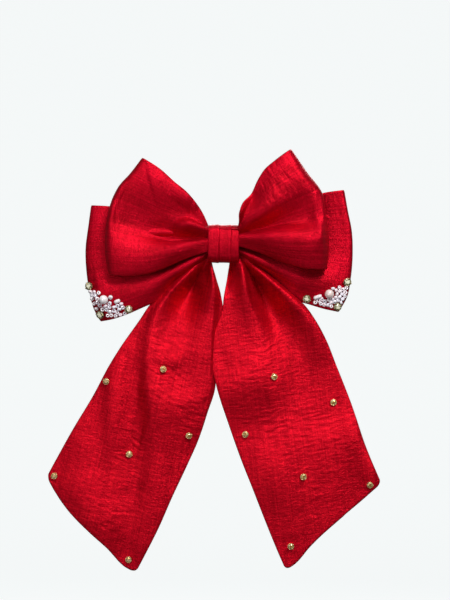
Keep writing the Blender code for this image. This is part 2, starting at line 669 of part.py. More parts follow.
def beaded_corner(side, tree, stones, pearl, bugle, finishes):
    """A corner of a back loop: a pearl, three stones and seed beads, each sewn to its nearest neighbour."""
    name = "left" if side < 0 else "right"
    for number, (x, z) in enumerate(scaled(stones), 1):
        place, normal = on_surface(tree, x, z)
        stone_with_setting(f"{name}_corner_stone_{number}", CORNER_STONE_RADIUS, place, normal, None,
                           finishes["stone"], finishes["brass"])
    place, normal = on_surface(tree, *scaled([pearl])[0])
    ball = bmesh.new()
    bmesh.ops.create_uvsphere(ball, u_segments=12, v_segments=8, radius=PEARL_RADIUS)
    pearl_object = add(f"{name}_pearl", mesh_from(f"{name}_pearl", ball), finishes["pearl"], 60)
    pearl_object.location = place + normal * (PEARL_RADIUS + TOUCH_GAP)
    room = [(spot, CORNER_STONE_RADIUS * 1.25) for spot in scaled(stones)]
    room.append((scaled([pearl])[0], PEARL_RADIUS))
    room += [(along(scaled(bugle), k / 4), BUGLE_RADIUS) for k in range(5)]
    bugle_bead(f"{name}_bugle_bead", tree, *scaled(bugle), finishes["seed"])
    corners = [spot + (spot - scaled([pearl])[0]) * 0.04 for spot in scaled(stones)]
    beads, centres, strands = bmesh.new(), [], []
    for spot in packed(corners, room, SEED_COUNT, 2 * SEED_RADIUS + 0.2 * MM):
        place, normal = on_surface(tree, spot.x, spot.y)
        centre = place + normal * (SEED_RADIUS + 2 * TOUCH_GAP)
        centres.append(centre)
        bmesh.ops.create_uvsphere(beads, u_segments=7, v_segments=5, radius=SEED_RADIUS,
                                  matrix=Matrix.Translation(centre))
    sewn, loose = centres[:1], centres[1:]
    while loose:
        start, end = min(((a, b) for a in sewn for b in loose), key=lambda pair: (pair[0] - pair[1]).length)
        strands.append([start, end])
        sewn.append(end)
        loose.remove(end)
    made = thread(f"{name}_seed_beads", strands, BEAD_THREAD_RADIUS, finishes["seed"])
    combine(made, add("beads", mesh_from("beads", beads), finishes["seed"]), "UNION")


# ---- The bow ----
def clear_scene():
    for obj in list(bpy.data.objects):
        bpy.data.objects.remove(obj)


def main():
    clear_scene()
    silk = material("red_dupion_silk", (0.55, 0.004, 0.02), 0.45)
    cotton = material("red_thread", (0.45, 0.005, 0.02), 0.7)
    steel = material("nickel_plated_steel", (0.6, 0.59, 0.57), 0.28, 1.0)
    brass = material("gilt_setting", (0.62, 0.5, 0.28), 0.3, 1.0)
    finishes = {
        "stone": material("champagne_crystal", (0.62, 0.6, 0.38), 0.05),
        "seed": material("silver_lined_seed", (0.86, 0.8, 0.84), 0.15),
        "pearl": material("pearl", (0.92, 0.88, 0.87), 0.2),
        "brass": brass,
    }

    band("front_band", FRONT_LEFT, FRONT_RIGHT, FRONT_WAIST, FRONT_FOLD_Y, FRONT_PUFFS, silk)
    back_band = band("back_band", BACK_LEFT, BACK_RIGHT, BACK_WAIST, BACK_FOLD_Y, BACK_PUFFS, silk)
    tails = {}
    for name, outline, side in (("left_tail", LEFT_TAIL, -1), ("right_tail", RIGHT_TAIL, 1)):
        empty = pivot(name + "_pivot", (side * TAIL_PIVOT_X, TAIL_PIVOT_Y, TAIL_PIVOT_Z))
        bpy.context.view_layer.update()
        tails[name] = (tail(name, outline, side, empty, silk), empty)
    knot(silk)
    gathering_thread(cotton)
    knot_stitches(cotton)

    base_plate(steel)
    hinge_pin(steel)
    clasp_arm(pivot("clasp_arm_pivot", (ARM_HINGE_X, ARM_Y, 0)), steel)
    tension_bar(pivot("tension_bar_pivot", (BAR_HINGE_X, BAR_HINGE_Y, 0)), steel)
    catch_base(steel)
    for name, side in (("upper_catch_prong", 1), ("lower_catch_prong", -1)):
        empty = pivot(name + "_pivot", (CATCH_X, CATCH_HINGE_Y, side * CATCH_HINGE_Z))
        catch_prong(name, side, empty, steel)
    for side in (-1, 1):
        clip_stitches(side, cotton)

    bpy.context.view_layer.update()
    for name, stones in (("left_tail", LEFT_TAIL_STONES), ("right_tail", RIGHT_TAIL_STONES)):
        cloth, empty = tails[name]
        tree = surface_of(cloth)
        for number, (x, z) in enumerate(scaled(stones), 1):
            place, normal = on_surface(tree, x, z)
            stone_with_setting(f"{name}_stone_{number}", TAIL_STONE_RADIUS, place, normal, empty,
                               finishes["stone"], brass)
    tree = surface_of(back_band)
    beaded_corner(-1, tree, LEFT_CORNER_STONES, LEFT_PEARL, LEFT_BUGLE, finishes)
    beaded_corner(1, tree, RIGHT_CORNER_STONES, RIGHT_PEARL, RIGHT_BUGLE, finishes)


main()
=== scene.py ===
"""The looks of the hair bow: silk with its folds, beads, stones and metal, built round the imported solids.

The frame's origin is the middle of the barrette's hair gap. +X is right and +Z is up in the bow's face, which
looks along -Y. Outlines and folds are in millimetres, and become metres where a mesh is made.
"""

import math

import bmesh
import bpy
import numpy as np
from mathutils import Matrix, Vector
from mathutils.bvhtree import BVHTree

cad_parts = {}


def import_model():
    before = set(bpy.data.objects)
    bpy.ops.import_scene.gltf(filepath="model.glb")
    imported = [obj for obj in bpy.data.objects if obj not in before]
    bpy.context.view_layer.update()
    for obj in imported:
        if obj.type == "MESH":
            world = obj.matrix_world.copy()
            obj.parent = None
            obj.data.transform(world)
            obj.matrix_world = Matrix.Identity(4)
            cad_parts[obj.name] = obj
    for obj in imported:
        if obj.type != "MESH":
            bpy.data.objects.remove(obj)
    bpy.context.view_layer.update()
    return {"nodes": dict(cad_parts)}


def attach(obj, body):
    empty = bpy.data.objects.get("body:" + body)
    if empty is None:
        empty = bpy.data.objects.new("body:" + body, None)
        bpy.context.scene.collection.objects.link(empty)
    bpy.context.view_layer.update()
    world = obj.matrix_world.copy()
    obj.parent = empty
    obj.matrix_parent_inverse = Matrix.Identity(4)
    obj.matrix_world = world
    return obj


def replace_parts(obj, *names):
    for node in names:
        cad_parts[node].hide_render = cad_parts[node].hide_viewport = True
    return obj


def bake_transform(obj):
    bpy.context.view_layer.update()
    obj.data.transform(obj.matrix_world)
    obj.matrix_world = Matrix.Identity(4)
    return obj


MM = 0.001
STRIP_WIDTH = 76  # mm across the silk of a band and, near enough, of a tail

# ---- Depths in mm, from the front to the back ----
FRONT_WAIST, BACK_WAIST = (-29.4, -23.0), (-18.4, -13.4)  # face and rear of a band inside the knot
FRONT_FOLD_Y, BACK_FOLD_Y = -27.5, -18.2
# Puff of the face, puff of the rear, how far the hems close in at the fold, and how square the fold is.
FRONT_PROFILE, BACK_PROFILE = (9.5, 0.8, 0.3, 20), (4.0, 0.6, 0.1, 16)
SILK_HALF = 0.45  # half the thickness of a strip

# ---- Outlines in the bow's face, as (x, z) in mm, from the knot outwards or from low to high ----
FRONT_LEFT = {
    "top": [(-9.4, 9.9), (-10.8, 13.6), (-13.8, 20.5), (-18.7, 27.7), (-24.8, 34.5), (-31.5, 39.9),
            (-40.7, 48.2), (-52.9, 56.2)],
    "bottom": [(-9.4, -5), (-24.8, -10.1), (-37, -15.6), (-49.2, -19.8), (-61.4, -21.3), (-75.1, -20.4)],
    "fold": [(-75.1, -20.4), (-77.2, -7), (-77.3, 5.3), (-76, 16.2), (-72.4, 29.6), (-68.3, 37.4),
             (-61, 45.6), (-52.9, 56.2)],
}
FRONT_RIGHT = {
    "top": [(9.4, 9.9), (10.3, 14), (10.4, 20.5), (12.3, 26), (18, 32.4), (22.2, 41.2), (26.5, 48),
            (33.8, 54.4), (44, 61.9)],
    "bottom": [(9.4, -1.6), (18, -4), (30.2, -8.8), (42.4, -13.7), (54.6, -16.6), (67.5, -17)],
    "fold": [(67.5, -17), (68.9, -4.6), (68.4, 7.6), (66.9, 20), (64.2, 33.3), (54.6, 46.4), (48.6, 55.2),
             (44, 61.9)],
}
BACK_LEFT = {
    "top": [(-9.4, 7), (-40, 17), (-74.3, 24.9), (-87.3, 25.7)],
    "bottom": [(-9.4, -11), (-19.9, -20.5), (-29.6, -28.5), (-40.7, -36.5), (-52, -41.4), (-64, -46.6),
               (-73.6, -49.8), (-81, -51.2)],
    "fold": [(-81, -51.2), (-85.2, -43.6), (-88.9, -29), (-90.4, -18), (-91, -4), (-88.9, 13.7),
             (-87.3, 25.7)],
}
BACK_RIGHT = {
    "top": [(9.4, 7), (40, 22), (64.9, 33.6), (79.6, 35.9)],
    "bottom": [(9.4, -10), (24, -21.5), (36.2, -30.5), (46, -36.8), (56, -39.8), (66.8, -43),
               (75.9, -44.9)],
    "fold": [(75.9, -44.9), (81.4, -35.1), (84, -22), (85.2, -6), (84.6, 8.8), (82, 22.2), (79.6, 35.9)],
}
LEFT_TAIL = {
    "inner": [(-5.5, 2), (-6.6, -6), (-7.6, -12.1), (-5.2, -22), (-1.4, -35), (-0.4, -43.9),
              (-2.6, -51.8), (-5, -59.1), (-6.8, -71.3), (-6.8, -77.5), (-5.2, -93), (-10.6, -111.5),
              (-16, -127.8), (-24.8, -147.6), (-33.6, -166.2), (-42.3, -185.9), (-51.1, -203.3),
              (-57.3, -215.2)],
    "outer": [(-9.5, 2), (-10.2, -4), (-19.9, -14.4), (-29.6, -22.3), (-40.7, -32.7), (-48, -39.4),
              (-55.4, -50.2), (-67.8, -68), (-74.9, -79.5), (-86.1, -100.5), (-99.2, -122.4),
              (-110.2, -142.1), (-116.2, -153.2)],
    "end": [(-57.3, -215.2), (-64, -211.8), (-77.4, -197.9), (-88.3, -188), (-101.4, -174.9),
            (-111, -162), (-116.2, -153.2)],
}
RIGHT_TAIL = {
    "inner": [(4.6, 2), (4.4, -6), (4, -12.3), (2.6, -22), (0.1, -35), (-0.9, -43.9), (-3.6, -51.8),
              (-6.2, -59.1), (-8.1, -71.3), (-8.1, -77.5), (-4.8, -93), (4.2, -121.3), (10.8, -139.9),
              (19.5, -161.8), (27.2, -181.5), (34.8, -200.1), (40.8, -213.8)],
    "outer": [(9.5, 2), (10.6, -4), (24, -15.6), (36.2, -25.3), (46, -33.9), (53, -39.8), (60.6, -50.2),
              (67.7, -63.3), (74.3, -79.7), (84.1, -104.9), (94, -134.4), (98.9, -146.5), (103.7, -157.2)],
    "end": [(40.8, -213.8), (47, -209.6), (56.8, -198.5), (76.4, -180.4), (89.6, -169.4), (103.7, -157.2)],
}

# ---- Folds, as (x, z, height, reach one way, reach the other way) in mm along each fold ----
# Heights are towards the face. The reaches are up and down on a loop and in a tail's waves. They are left and
# right in a tail's folds.
FRONT_LEFT_FOLDS = [
    [(-10.5, 11.1, -2.4, 2.5, 0.8), (-15.3, 13.1, -4.6, 6, 1), (-23, 16.8, -6.4, 11, 1.8),
     (-31, 16, -7, 15, 5), (-42, 12.5, -8.5, 22, 14), (-56, 12, -7.6, 25, 14), (-70, 16, -4, 24, 12),
     (-76, 16, 0, 20, 12)],
    [(-10.5, 9.4, 1, 1.2, 3), (-18, 12, 1.6, 2.4, 4.5), (-27, 14.6, 1.6, 3, 6), (-36, 15.6, 0.8, 4, 7),
     (-48, 17, 0, 6, 7)],
    [(-10, 4, -3.4, 3, 0.8), (-20, 2.9, -8, 6, 1.2), (-30, 2, -9.4, 8, 1.6), (-40, 2.6, -6, 9, 2.4),
     (-50, 4, -2.4, 9, 3.4), (-60, 7, 0, 8, 5)],
    [(-10, 1.4, 1.2, 1.5, 4), (-22, -0.4, 2.8, 2.5, 6), (-36, -4.4, 4, 5, 12), (-52, -5, 1.8, 9, 18),
     (-66, -1, 0.8, 10, 20), (-77, 2, 0, 9, 16)],
    [(-14, 21, 0, 3, 4), (-22, 29, 2, 4, 5), (-35, 40, 1.2, 5, 7), (-48, 46, 0, 6, 8)],
]
FRONT_RIGHT_FOLDS = [
    [(11.2, 13.5, -1.4, 1.2, 2), (13.8, 20, -3, 1.6, 3), (18, 28, -3.4, 2, 5), (24, 38, -1.6, 2, 6),
     (30, 48, 0, 3, 6)],
    [(10.5, 9.6, 1, 3, 2), (22, 17, 2.4, 8, 5), (34, 25, 2.4, 9, 7), (46, 31, 1, 9, 8), (56, 36, 0, 9, 8)],
    [(10, 6.5, -3.2, 2.5, 0.8), (20, 8.6, -8.6, 5, 2.2), (31, 11.4, -9.8, 7, 2.6),
     (42, 13.4, -7.6, 14, 5), (54, 14.4, -7, 19, 7), (63, 14.6, -4, 20, 8), (68, 13, 0, 18, 8)],
    [(10, 5, 1.2, 1.2, 4), (22, 4.8, 3.2, 2.5, 6), (36, 5, 5.2, 3.8, 15), (52, 6, 5.4, 6, 22),
     (67, 6.4, 3.6, 7, 22)],
    [(60, -6, 0, 3.5, 3.5), (62, 4, 1.6, 4, 4), (61.5, 18, 2.2, 4, 4), (59, 30, 1.6, 4, 4),
     (54, 40, 0, 3.5, 3.5)],
    [(8.6, 11, 3, 4, 4), (8.6, 20, 10, 5, 5), (11, 27, 6, 5, 5), (16.5, 34, 0, 4, 4)],
    [(34, 52, 0, 5, 6), (46, 48, 0.5, 7, 9), (54, 41, 1.4, 7, 9), (60, 34, 0, 6, 7)],
]
BACK_LEFT_FOLDS = [
    [(-10, -6, 8, 3, 2), (-20, -12.6, 10, 6, 3), (-34, -20.4, 8.6, 7, 5), (-52, -30, 6, 12, 14),
     (-70, -33, 5, 13, 16), (-86, -34, 2.6, 12, 14), (-92, -34, 0, 12, 12)],
    [(-11, -7.6, -1.5, 1.2, 3), (-22, -16.5, -2.4, 2.5, 5), (-36, -29, -2.2, 5, 6), (-50, -39, 0, 6, 6)],
]
BACK_RIGHT_FOLDS = [
    [(10, -4.6, 8, 3, 1.8), (21.8, -10.8, 8.6, 6, 3), (34, -17, 7, 11, 5), (50, -22.5, 6, 13, 9),
     (64, -25, 3, 13, 10), (77, -26, 0, 12, 9)],
    [(58, 36, 0, 16, 16), (62, 26, -3, 18, 18), (65, 4, -3.4, 18, 18), (65, -10, -2, 16, 16),
     (62, -24, 0, 14, 14)],
    [(12, -6.6, -1.5, 1, 3), (22, -13.8, -2.8, 2, 4), (34, -21.4, -2.6, 4, 6), (48, -29.5, 0, 6, 6)],
]
LEFT_TAIL_FOLDS = [
    [(-7.5, -6, 2, 1.5, 1), (-8, -14, 5.5, 2.2, 1.4), (-6.6, -26, 6.5, 3.2, 2.6), (-7, -42, 4.5, 10, 3),
     (-8.5, -58, 5, 18, 3.5), (-9, -78, 5, 19, 3.5), (-10, -98, 2.6, 16, 4), (-12, -114, 0, 12, 5)],
    [(-9.6, -9, -1, 2, 1.2), (-13.5, -15, -4.5, 3, 3), (-17.4, -21, -10, 3.2, 4.4),
     (-21.6, -28.5, -14.5, 4, 7.5), (-25, -37, -12, 9, 10), (-27, -50, -5.6, 15, 13),
     (-28, -66, -3, 18, 14), (-29, -85, -3, 14, 14), (-24, -104, 0, 14, 12)],
    [(-10.8, -6, 2, 1, 2), (-21, -17.8, 6, 2, 4), (-31, -28, 6.5, 2.8, 6), (-40, -40, 5.5, 4, 8),
     (-47.5, -58, 5, 6, 16), (-49, -90, 5.4, 6.5, 19), (-46, -115, 4.2, 7, 18), (-45, -140, 4.4, 9, 14),
     (-46, -170, 4.4, 9, 12), (-50, -195, 2.8, 9, 10), (-54, -212, 0, 9, 8)],
    [(-61, -60, 0, 5, 6), (-70, -84, 3.6, 7, 9), (-73, -115, 4.4, 7, 10), (-72, -140, 2.6, 8, 9),
     (-70, -165, 0, 8, 8)],
    [(-80, -96, 0, 6, 6), (-91, -118, 3.4, 16, 10), (-94, -142, 5, 18, 14), (-90, -168, 6.5, 15, 20),
     (-80, -188, 5, 12, 20), (-74, -206, 0, 9, 12)],
    [(-1.4, -44, -0.8, 5, 2), (-5, -60, -1.2, 5, 2), (-7.4, -76, -1.2, 5, 2), (-5.4, -92, 0, 4, 2)],
]
LEFT_TAIL_WAVES = [
    [(-56, -98, 0, 30, 20), (-44, -100, 4.4, 32, 26), (-33, -106, 4.4, 30, 26), (-23, -116, 2.6, 20, 26),
     (-12, -124, 0, 12, 22)],
    [(-48, -74, 0, 12, 4), (-37, -77, 1.3, 12, 4), (-27, -79, 0, 10, 4)],
    [(-34, -82, 0, 24, 12), (-24, -87, -1.4, 28, 16), (-14, -90, -2, 28, 16), (-4, -90, -2, 26, 16)],
    [(-118, -138, -3, 26, 30), (-104, -138, -3, 26, 30), (-92, -142, -1.4, 24, 28),
     (-80, -146, 0, 20, 24)],
]
RIGHT_TAIL_FOLDS = [
    [(8.2, -5, 2, 1.5, 1), (12.2, -15, 6, 3.5, 1.4), (14.2, -26, 7, 5, 1.8), (17, -38, 5, 7, 2.6),
     (24, -54, 2, 9, 5), (32, -72, 0, 9, 7)],
    [(10, -8, -1.5, 1, 2), (16.5, -16, -6, 2.6, 3), (22, -25, -9.6, 4.4, 5), (28, -37, -11, 7, 8),
     (33, -48, -9, 8, 10), (40, -64, -6, 13, 16), (46, -80, -4, 17, 18), (50, -94, -2, 16, 18),
     (55, -108, 0, 14, 16)],
    [(11, -6.4, 2, 2, 1), (24, -18.8, 6, 4, 2), (37, -30, 6.6, 6, 2.8), (50, -42.5, 5.4, 8, 4),
     (60, -58, 3.4, 9, 7), (70, -80, 0, 9, 7)],
    [(5.8, -9, -2, 1, 1.5), (5.6, -15, -4, 1.5, 2), (3.6, -25, -2.6, 2, 2.5), (2, -36, 0, 3, 3)],
    [(30, -136, 0, 10, 10), (38, -160, 1.6, 12, 14), (46, -190, 1.2, 9, 12), (50, -204, 0, 8, 8)],
    [(76, -104, 0, 7, 4), (89, -134, 1.8, 9, 4), (98, -152, 1.8, 9, 4), (96, -162, 0, 8, 4)],
    [(-1.2, -42, 0.4, 2, 4), (-6, -60, 1.1, 2, 5), (-8, -76, 1.1, 2, 5), (-5, -92, 0, 2, 4)],
]
RIGHT_TAIL_WAVES = [
    [(-9, -95, 2.4, 11, 14), (6, -94, 5, 12, 18), (21, -86, 5.6, 15, 21), (36, -76, 3, 15, 22),
     (50, -71, 0, 16, 18)],
    [(8, -146, 0, 18, 14), (28, -144, 4, 18, 26), (50, -139, 3.9, 18, 40), (74, -132, 2.6, 17, 40),
     (90, -132, 0, 18, 14)],
    [(36, -92, 0, 18, 14), (50, -99, -1.8, 24, 20), (66, -104, -2, 26, 20), (82, -108, -1.4, 24, 20),
     (94, -112, 0, 18, 12)],
]

# ---- Where the silk is crinkled most, as (x, z, reach, strength) ----
CRINKLES = {
    "left_loops": [(-28, -4, 9, 0.7), (-46, 48, 9, 0.4), (-66, -30, 10, 0.3)],
    "right_loops": [(38, 45, 13, 1.6), (30, 30, 9, 0.8), (76, 26, 9, 0.9), (74, -18, 9, 0.5)],
    "left_tail": [(-37, -66, 15, 0.9), (-38, -92, 17, 1), (-22, -112, 12, 0.6), (-62, -136, 15, 0.9),
                  (-77, -178, 18, 1)],
    "right_tail": [(10, -82, 16, 1), (30, -66, 17, 1), (34, -124, 20, 1), (68, -126, 16, 0.7),
                   (60, -160, 16, 0.6)],
}

# ---- Trim, as (x, z) in mm ----
LEFT_TAIL_STONES = [(-39.6, -82.6), (-76.6, -90.4), (-22.8, -125.7), (-61.7, -138), (-110.7, -152.3),
                    (-61.9, -206.4)]
RIGHT_TAIL_STONES = [(33, -87.4), (72.3, -104.3), (14.4, -125.2), (52.1, -152.5), (95.9, -158),
                     (44, -197.9)]
TAIL_STONE_RADIUS = 1.85
CORNER_STONE_RADIUS = 2.35
SEED_RADIUS, SEED_HOLE, SEED_HALF, SEED_SPACING = 1.4, 0.6, 0.85, 2.45
BUGLE_RADIUS, BUGLE_HOLE = 1.3, 0.45
PEARL_RADIUS = 3.0
CORNERS = {
    "left": {"stones": [(-88.2, -27.8), (-80.9, -46.4), (-62.4, -42.8)], "pearl": (-78.3, -36.6),
             "bugle": [(-71.4, -38.4), (-67.9, -37)], "seeds": 30, "seed": 4,
             "field": [(-88.6, -30), (-83, -31.2), (-76, -33), (-66.4, -37.6), (-61, -44), (-66, -47.2),
                       (-74, -48.6), (-80, -47.6), (-86, -41)]},
    "right": {"stones": [(81.4, -25.2), (75, -41.4), (54.9, -36)], "pearl": (69.4, -32.8),
              "bugle": [(59.4, -35.7), (64.6, -33.9)], "seeds": 27, "seed": 11,
              "field": [(82, -28), (76.6, -27.6), (68, -29.4), (56, -34.4), (57.6, -38.6), (64, -40.4),
                        (71, -42), (77, -40.6), (80.6, -35)]},
}


# ---- Curves and surfaces, on whole arrays ----
def along(points, share):
    """Points at shares of the length of a smooth curve through (x, z, ...) rows."""
    points = np.array(points, float)
    share = np.clip(np.asarray(share, float), 0, 1)
    lengths = np.linalg.norm(np.diff(points[:, :2], axis=0), axis=1)
    slopes = np.diff(points, axis=0) / lengths[:, None]
    tangents = np.vstack([slopes[:1], slopes])
    before, after = lengths[:-1, None], lengths[1:, None]
    tangents[1:-1] = (slopes[1:] * before + slopes[:-1] * after) / (before + after)
    ends = np.concatenate([[0], np.cumsum(lengths)])
    place = share * ends[-1]
    i = np.clip(np.searchsorted(ends, place, side="right") - 1, 0, len(lengths) - 1)
    t = ((place - ends[i]) / lengths[i])[..., None]
    reach = lengths[i][..., None]
    return (
        points[i] * (2 * t**3 - 3 * t**2 + 1)
        + points[i + 1] * (3 * t**2 - 2 * t**3)
        + tangents[i] * reach * (t**3 - 2 * t**2 + t)
        + tangents[i + 1] * reach * (t**3 - t**2)
    )


def coons(low, high, start, end, u, v):
    """(x, z) inside four edges, for each u and v: low and high run with u, start and end with v."""
    across = along(low, u)[:, None] * (1 - v)[None, :, None] + along(high, u)[:, None] * v[None, :, None]
    down = along(start, v)[None] * (1 - u)[:, None, None] + along(end, v)[None] * u[:, None, None]
    a, b, c, d = (np.array(p, float) for p in (low[0], low[-1], high[0], high[-1]))
    uu, vv = u[:, None, None], v[None, :, None]
    corners = (a * (1 - uu) + b * uu) * (1 - vv) + (c * (1 - uu) + d * uu) * vv
    return across + down - corners


def mix(a, b, share):
    return a + (b - a) * share


def smooth_step(x):
    x = np.clip(x, 0, 1)
    return x * x * (3 - 2 * x)


FOLD_SAMPLES = 25
ROUND, SHARP = 1.9, 1.2  # powers that shape a ridge and a narrow valley


def folded(spots, folds, towards):
    """Height that folds add at each (x, z) spot: round ridges and sharp valleys.

    towards is the direction of the first reach.
    """
    flat = spots.reshape(-1, 2)
    total = np.zeros(len(flat))
    for fold in folds:
        line = along(fold, np.linspace(0, 1, FOLD_SAMPLES))
        start, step = line[:-1, :2], np.diff(line[:, :2], axis=0)
        reach = flat[:, None] - start[None]
        t = np.clip((reach * step).sum(-1) / (step**2).sum(-1), 0, 1)
        away = reach - t[..., None] * step
        distance = np.linalg.norm(away, axis=-1)
        nearest = distance.argmin(1)
        rows = np.arange(len(flat))
        t, away, distance = t[rows, nearest], away[rows, nearest], distance[rows, nearest]
        height, first, second = (mix(line[nearest, k], line[nearest + 1, k], t) for k in (2, 3, 4))
        side = away @ np.array(towards, float)
        width = mix(second, first, smooth_step(side / 1.2 + 0.5))
        sharpness = ROUND if line[:, 2].sum() > 0 else mix(SHARP, ROUND, smooth_step((width - 2) / 6))
        total += height * np.exp(-((distance / np.maximum(width, 0.5)) ** sharpness))
    return total.reshape(spots.shape[:-1])


def rippled(x, y, seed):
    """Smooth noise from -1 to 1 over the plane, the same each run."""
    table = np.random.default_rng(seed).uniform(-1, 1, (64, 64))
    x, y = np.broadcast_arrays(x, y)
    i, j = np.floor(x).astype(int), np.floor(y).astype(int)
    a, b = smooth_step(x - i), smooth_step(y - j)
    low = mix(table[i % 64, j % 64], table[(i + 1) % 64, j % 64], a)
    high = mix(table[i % 64, (j + 1) % 64], table[(i + 1) % 64, (j + 1) % 64], a)
    return mix(low, high, b)


def crinkled(spots, patches, s, t, seed, height):
    """Short sharp creases across the strip, deepest in patches.

    s is along the strip and t across it, in mm. What they are divided by is about the size of a crease.
    """
    bend = 0.9 * rippled(s / 12, t / 9, seed)
    fine = 1 - 2.2 * np.abs(rippled(s / 2.3 + bend, t / 8, seed + 1)) ** 0.7
    finer = 1 - 2.2 * np.abs(rippled(s / 1.4 + bend * 1.5, t / 5, seed + 4)) ** 0.7
    broad = rippled(s / 7.5 + bend * 0.6, t / 18, seed + 2)
    strength = 0.1 + 0.16 * rippled(s / 26, t / 19, seed + 3)
    for x, z, reach, extra in patches:
        distance = np.hypot(spots[..., 0] - x, spots[..., 1] - z)
        strength = strength + extra * np.exp(-((distance / reach) ** 2))
    return height * (strength * (fine + 0.6 * finer) + 0.8 * broad)


def rounded_corners(spots, from_end, across, radius):
    """Rounds the two corners at the end of a strip."""
    up = -np.gradient(spots, axis=0)
    side = np.gradient(spots, axis=1)
    up /= np.linalg.norm(up, axis=-1, keepdims=True)
    side /= np.linalg.norm(side, axis=-1, keepdims=True)
    for inset, way in ((across, 1), (across[-1] - across, -1)):
        a = np.clip(radius - inset, 0, None)[None, :]
        b = np.clip(radius - from_end, 0, None)[:, None]
        shrink = 1 - np.maximum(a, b) / np.maximum(np.hypot(a, b), 1e-9)
        spots = spots + (a * shrink * (b > 0))[..., None] * side * way
        spots = spots + (b * shrink * (a > 0))[..., None] * up
    return spots


# ---- Meshes ----
def strip_normals(points, closed):
    """Unit normals of a grid of points."""
    if closed:
        ahead, behind = np.roll(points, -1, 0), np.roll(points, 1, 0)
    else:
        ahead = np.concatenate([points[1:], points[-1:]])
        behind = np.concatenate([points[:1], points[:-1]])
    right = np.concatenate([points[:, 1:], points[:, -1:]], 1)
    left = np.concatenate([points[:, :1], points[:, :-1]], 1)
    normals = np.cross(ahead - behind, right - left)
    return normals / np.maximum(np.linalg.norm(normals, axis=-1, keepdims=True), 1e-9)


def strip_thickness(rows, columns, half, closed, edge):
    """Half the thickness over a grid, rounded off at both long edges and at an open end."""
    v = steps(columns - 6, edge)
    inset = np.minimum(v, 1 - v) / edge
    thick = np.tile(half * np.sqrt(1 - (1 - np.clip(inset, 0, 1)) ** 2), (rows, 1))
    if not closed:
        from_end = (rows - 1 - np.arange(rows)) / 3
        thick *= np.sqrt(1 - (1 - np.clip(from_end, 0, 1)) ** 2)[:, None]
    return thick


def strip_faces(face, back, closed):
    """Corners of the faces of both layers, from the grids of their vertex numbers."""
    rows, columns = face.shape
    i, j = np.meshgrid(np.arange(rows if closed else rows - 1), np.arange(columns - 1), indexing="ij")
    n = (i + 1) % rows
    quads = np.concatenate([
        np.stack([grid[i, j], grid[n, j], grid[n, j + 1], grid[i, j + 1]], -1).reshape(-1, 4)[:, order]
        for grid, order in ((face, [0, 1, 2, 3]), (back, [3, 2, 1, 0]))
    ])
    if not closed:
        start = np.stack([face[0, :-1], face[0, 1:], back[0, 1:], back[0, :-1]], -1)
        quads = np.concatenate([quads, start])
    corners = [list(dict.fromkeys(quad)) for quad in quads.tolist()]
    return [quad for quad in corners if len(quad) > 2]


def cloth(name, points, along_mm, across_mm, half, closed, finish, edge=0.022):
    """A strip of silk with rounded edges, from a grid of points in mm.

    A closed strip joins its last row to its first. along_mm and across_mm are the places on the flat strip.
    """
    rows, columns = points.shape[:2]
    offset = strip_normals(points, closed) * strip_thickness(rows, columns, half, closed, edge)[..., None]
    shared = np.zeros((rows, columns), bool)
    shared[:, 0] = shared[:, -1] = True
    if not closed:
        shared[-1] = True
    face = np.arange(rows * columns).reshape(rows, columns)
    back = face.copy()
    back[~shared] = rows * columns + np.arange((~shared).sum())
    places = np.concatenate([(points + offset).reshape(-1, 3), (points - offset)[~shared]]) * MM
    flat = np.stack(np.broadcast_arrays(along_mm, across_mm), -1)
    flat = np.concatenate([flat.reshape(-1, 2), flat[~shared]]) * MM
    mesh = bpy.data.meshes.new(name)
    mesh.from_pydata(places.tolist(), [], strip_faces(face, back, closed))
    layer = mesh.uv_layers.new(name="strip")
    corners = np.zeros(len(mesh.loops), np.int32)
    mesh.loops.foreach_get("vertex_index", corners)
    layer.data.foreach_set("uv", flat[corners].astype(np.float32).ravel())
    return add(name, mesh, finish)


def add(name, mesh, *finishes, smooth=True):
    made = bpy.data.objects.new(name, mesh)
    bpy.context.scene.collection.objects.link(made)
    for finish in finishes:
        mesh.materials.append(finish)
    if smooth:
        mesh.shade_smooth()
    return made


def built(name, bm, *finishes, smooth=True):
    """The object that a bmesh makes."""
    mesh = bpy.data.meshes.new(name)
    bm.to_mesh(mesh)
    bm.free()
    return add(name, mesh, *finishes, smooth=smooth)


def steps(count, edge=0.022):
    """Shares from 0 to 1 with extra rows at both ends, where a strip's edge is rounded."""
    near = np.array([0, 0.12, 0.4, 1]) * edge
    return np.concatenate([near[:-1], np.linspace(edge, 1 - edge, count), 1 - near[:-1][::-1]])


# ---- Loops ----
LOOP_ROWS, STRIP_COLUMNS = 120, 66
LOOP_LENGTH = 66  # mm of silk from waist to fold, which sets the scale of its creases
LOOP_CRINKLE = 0.16
REAR_GATHERS = 6.5  # pleats across the rear of a loop


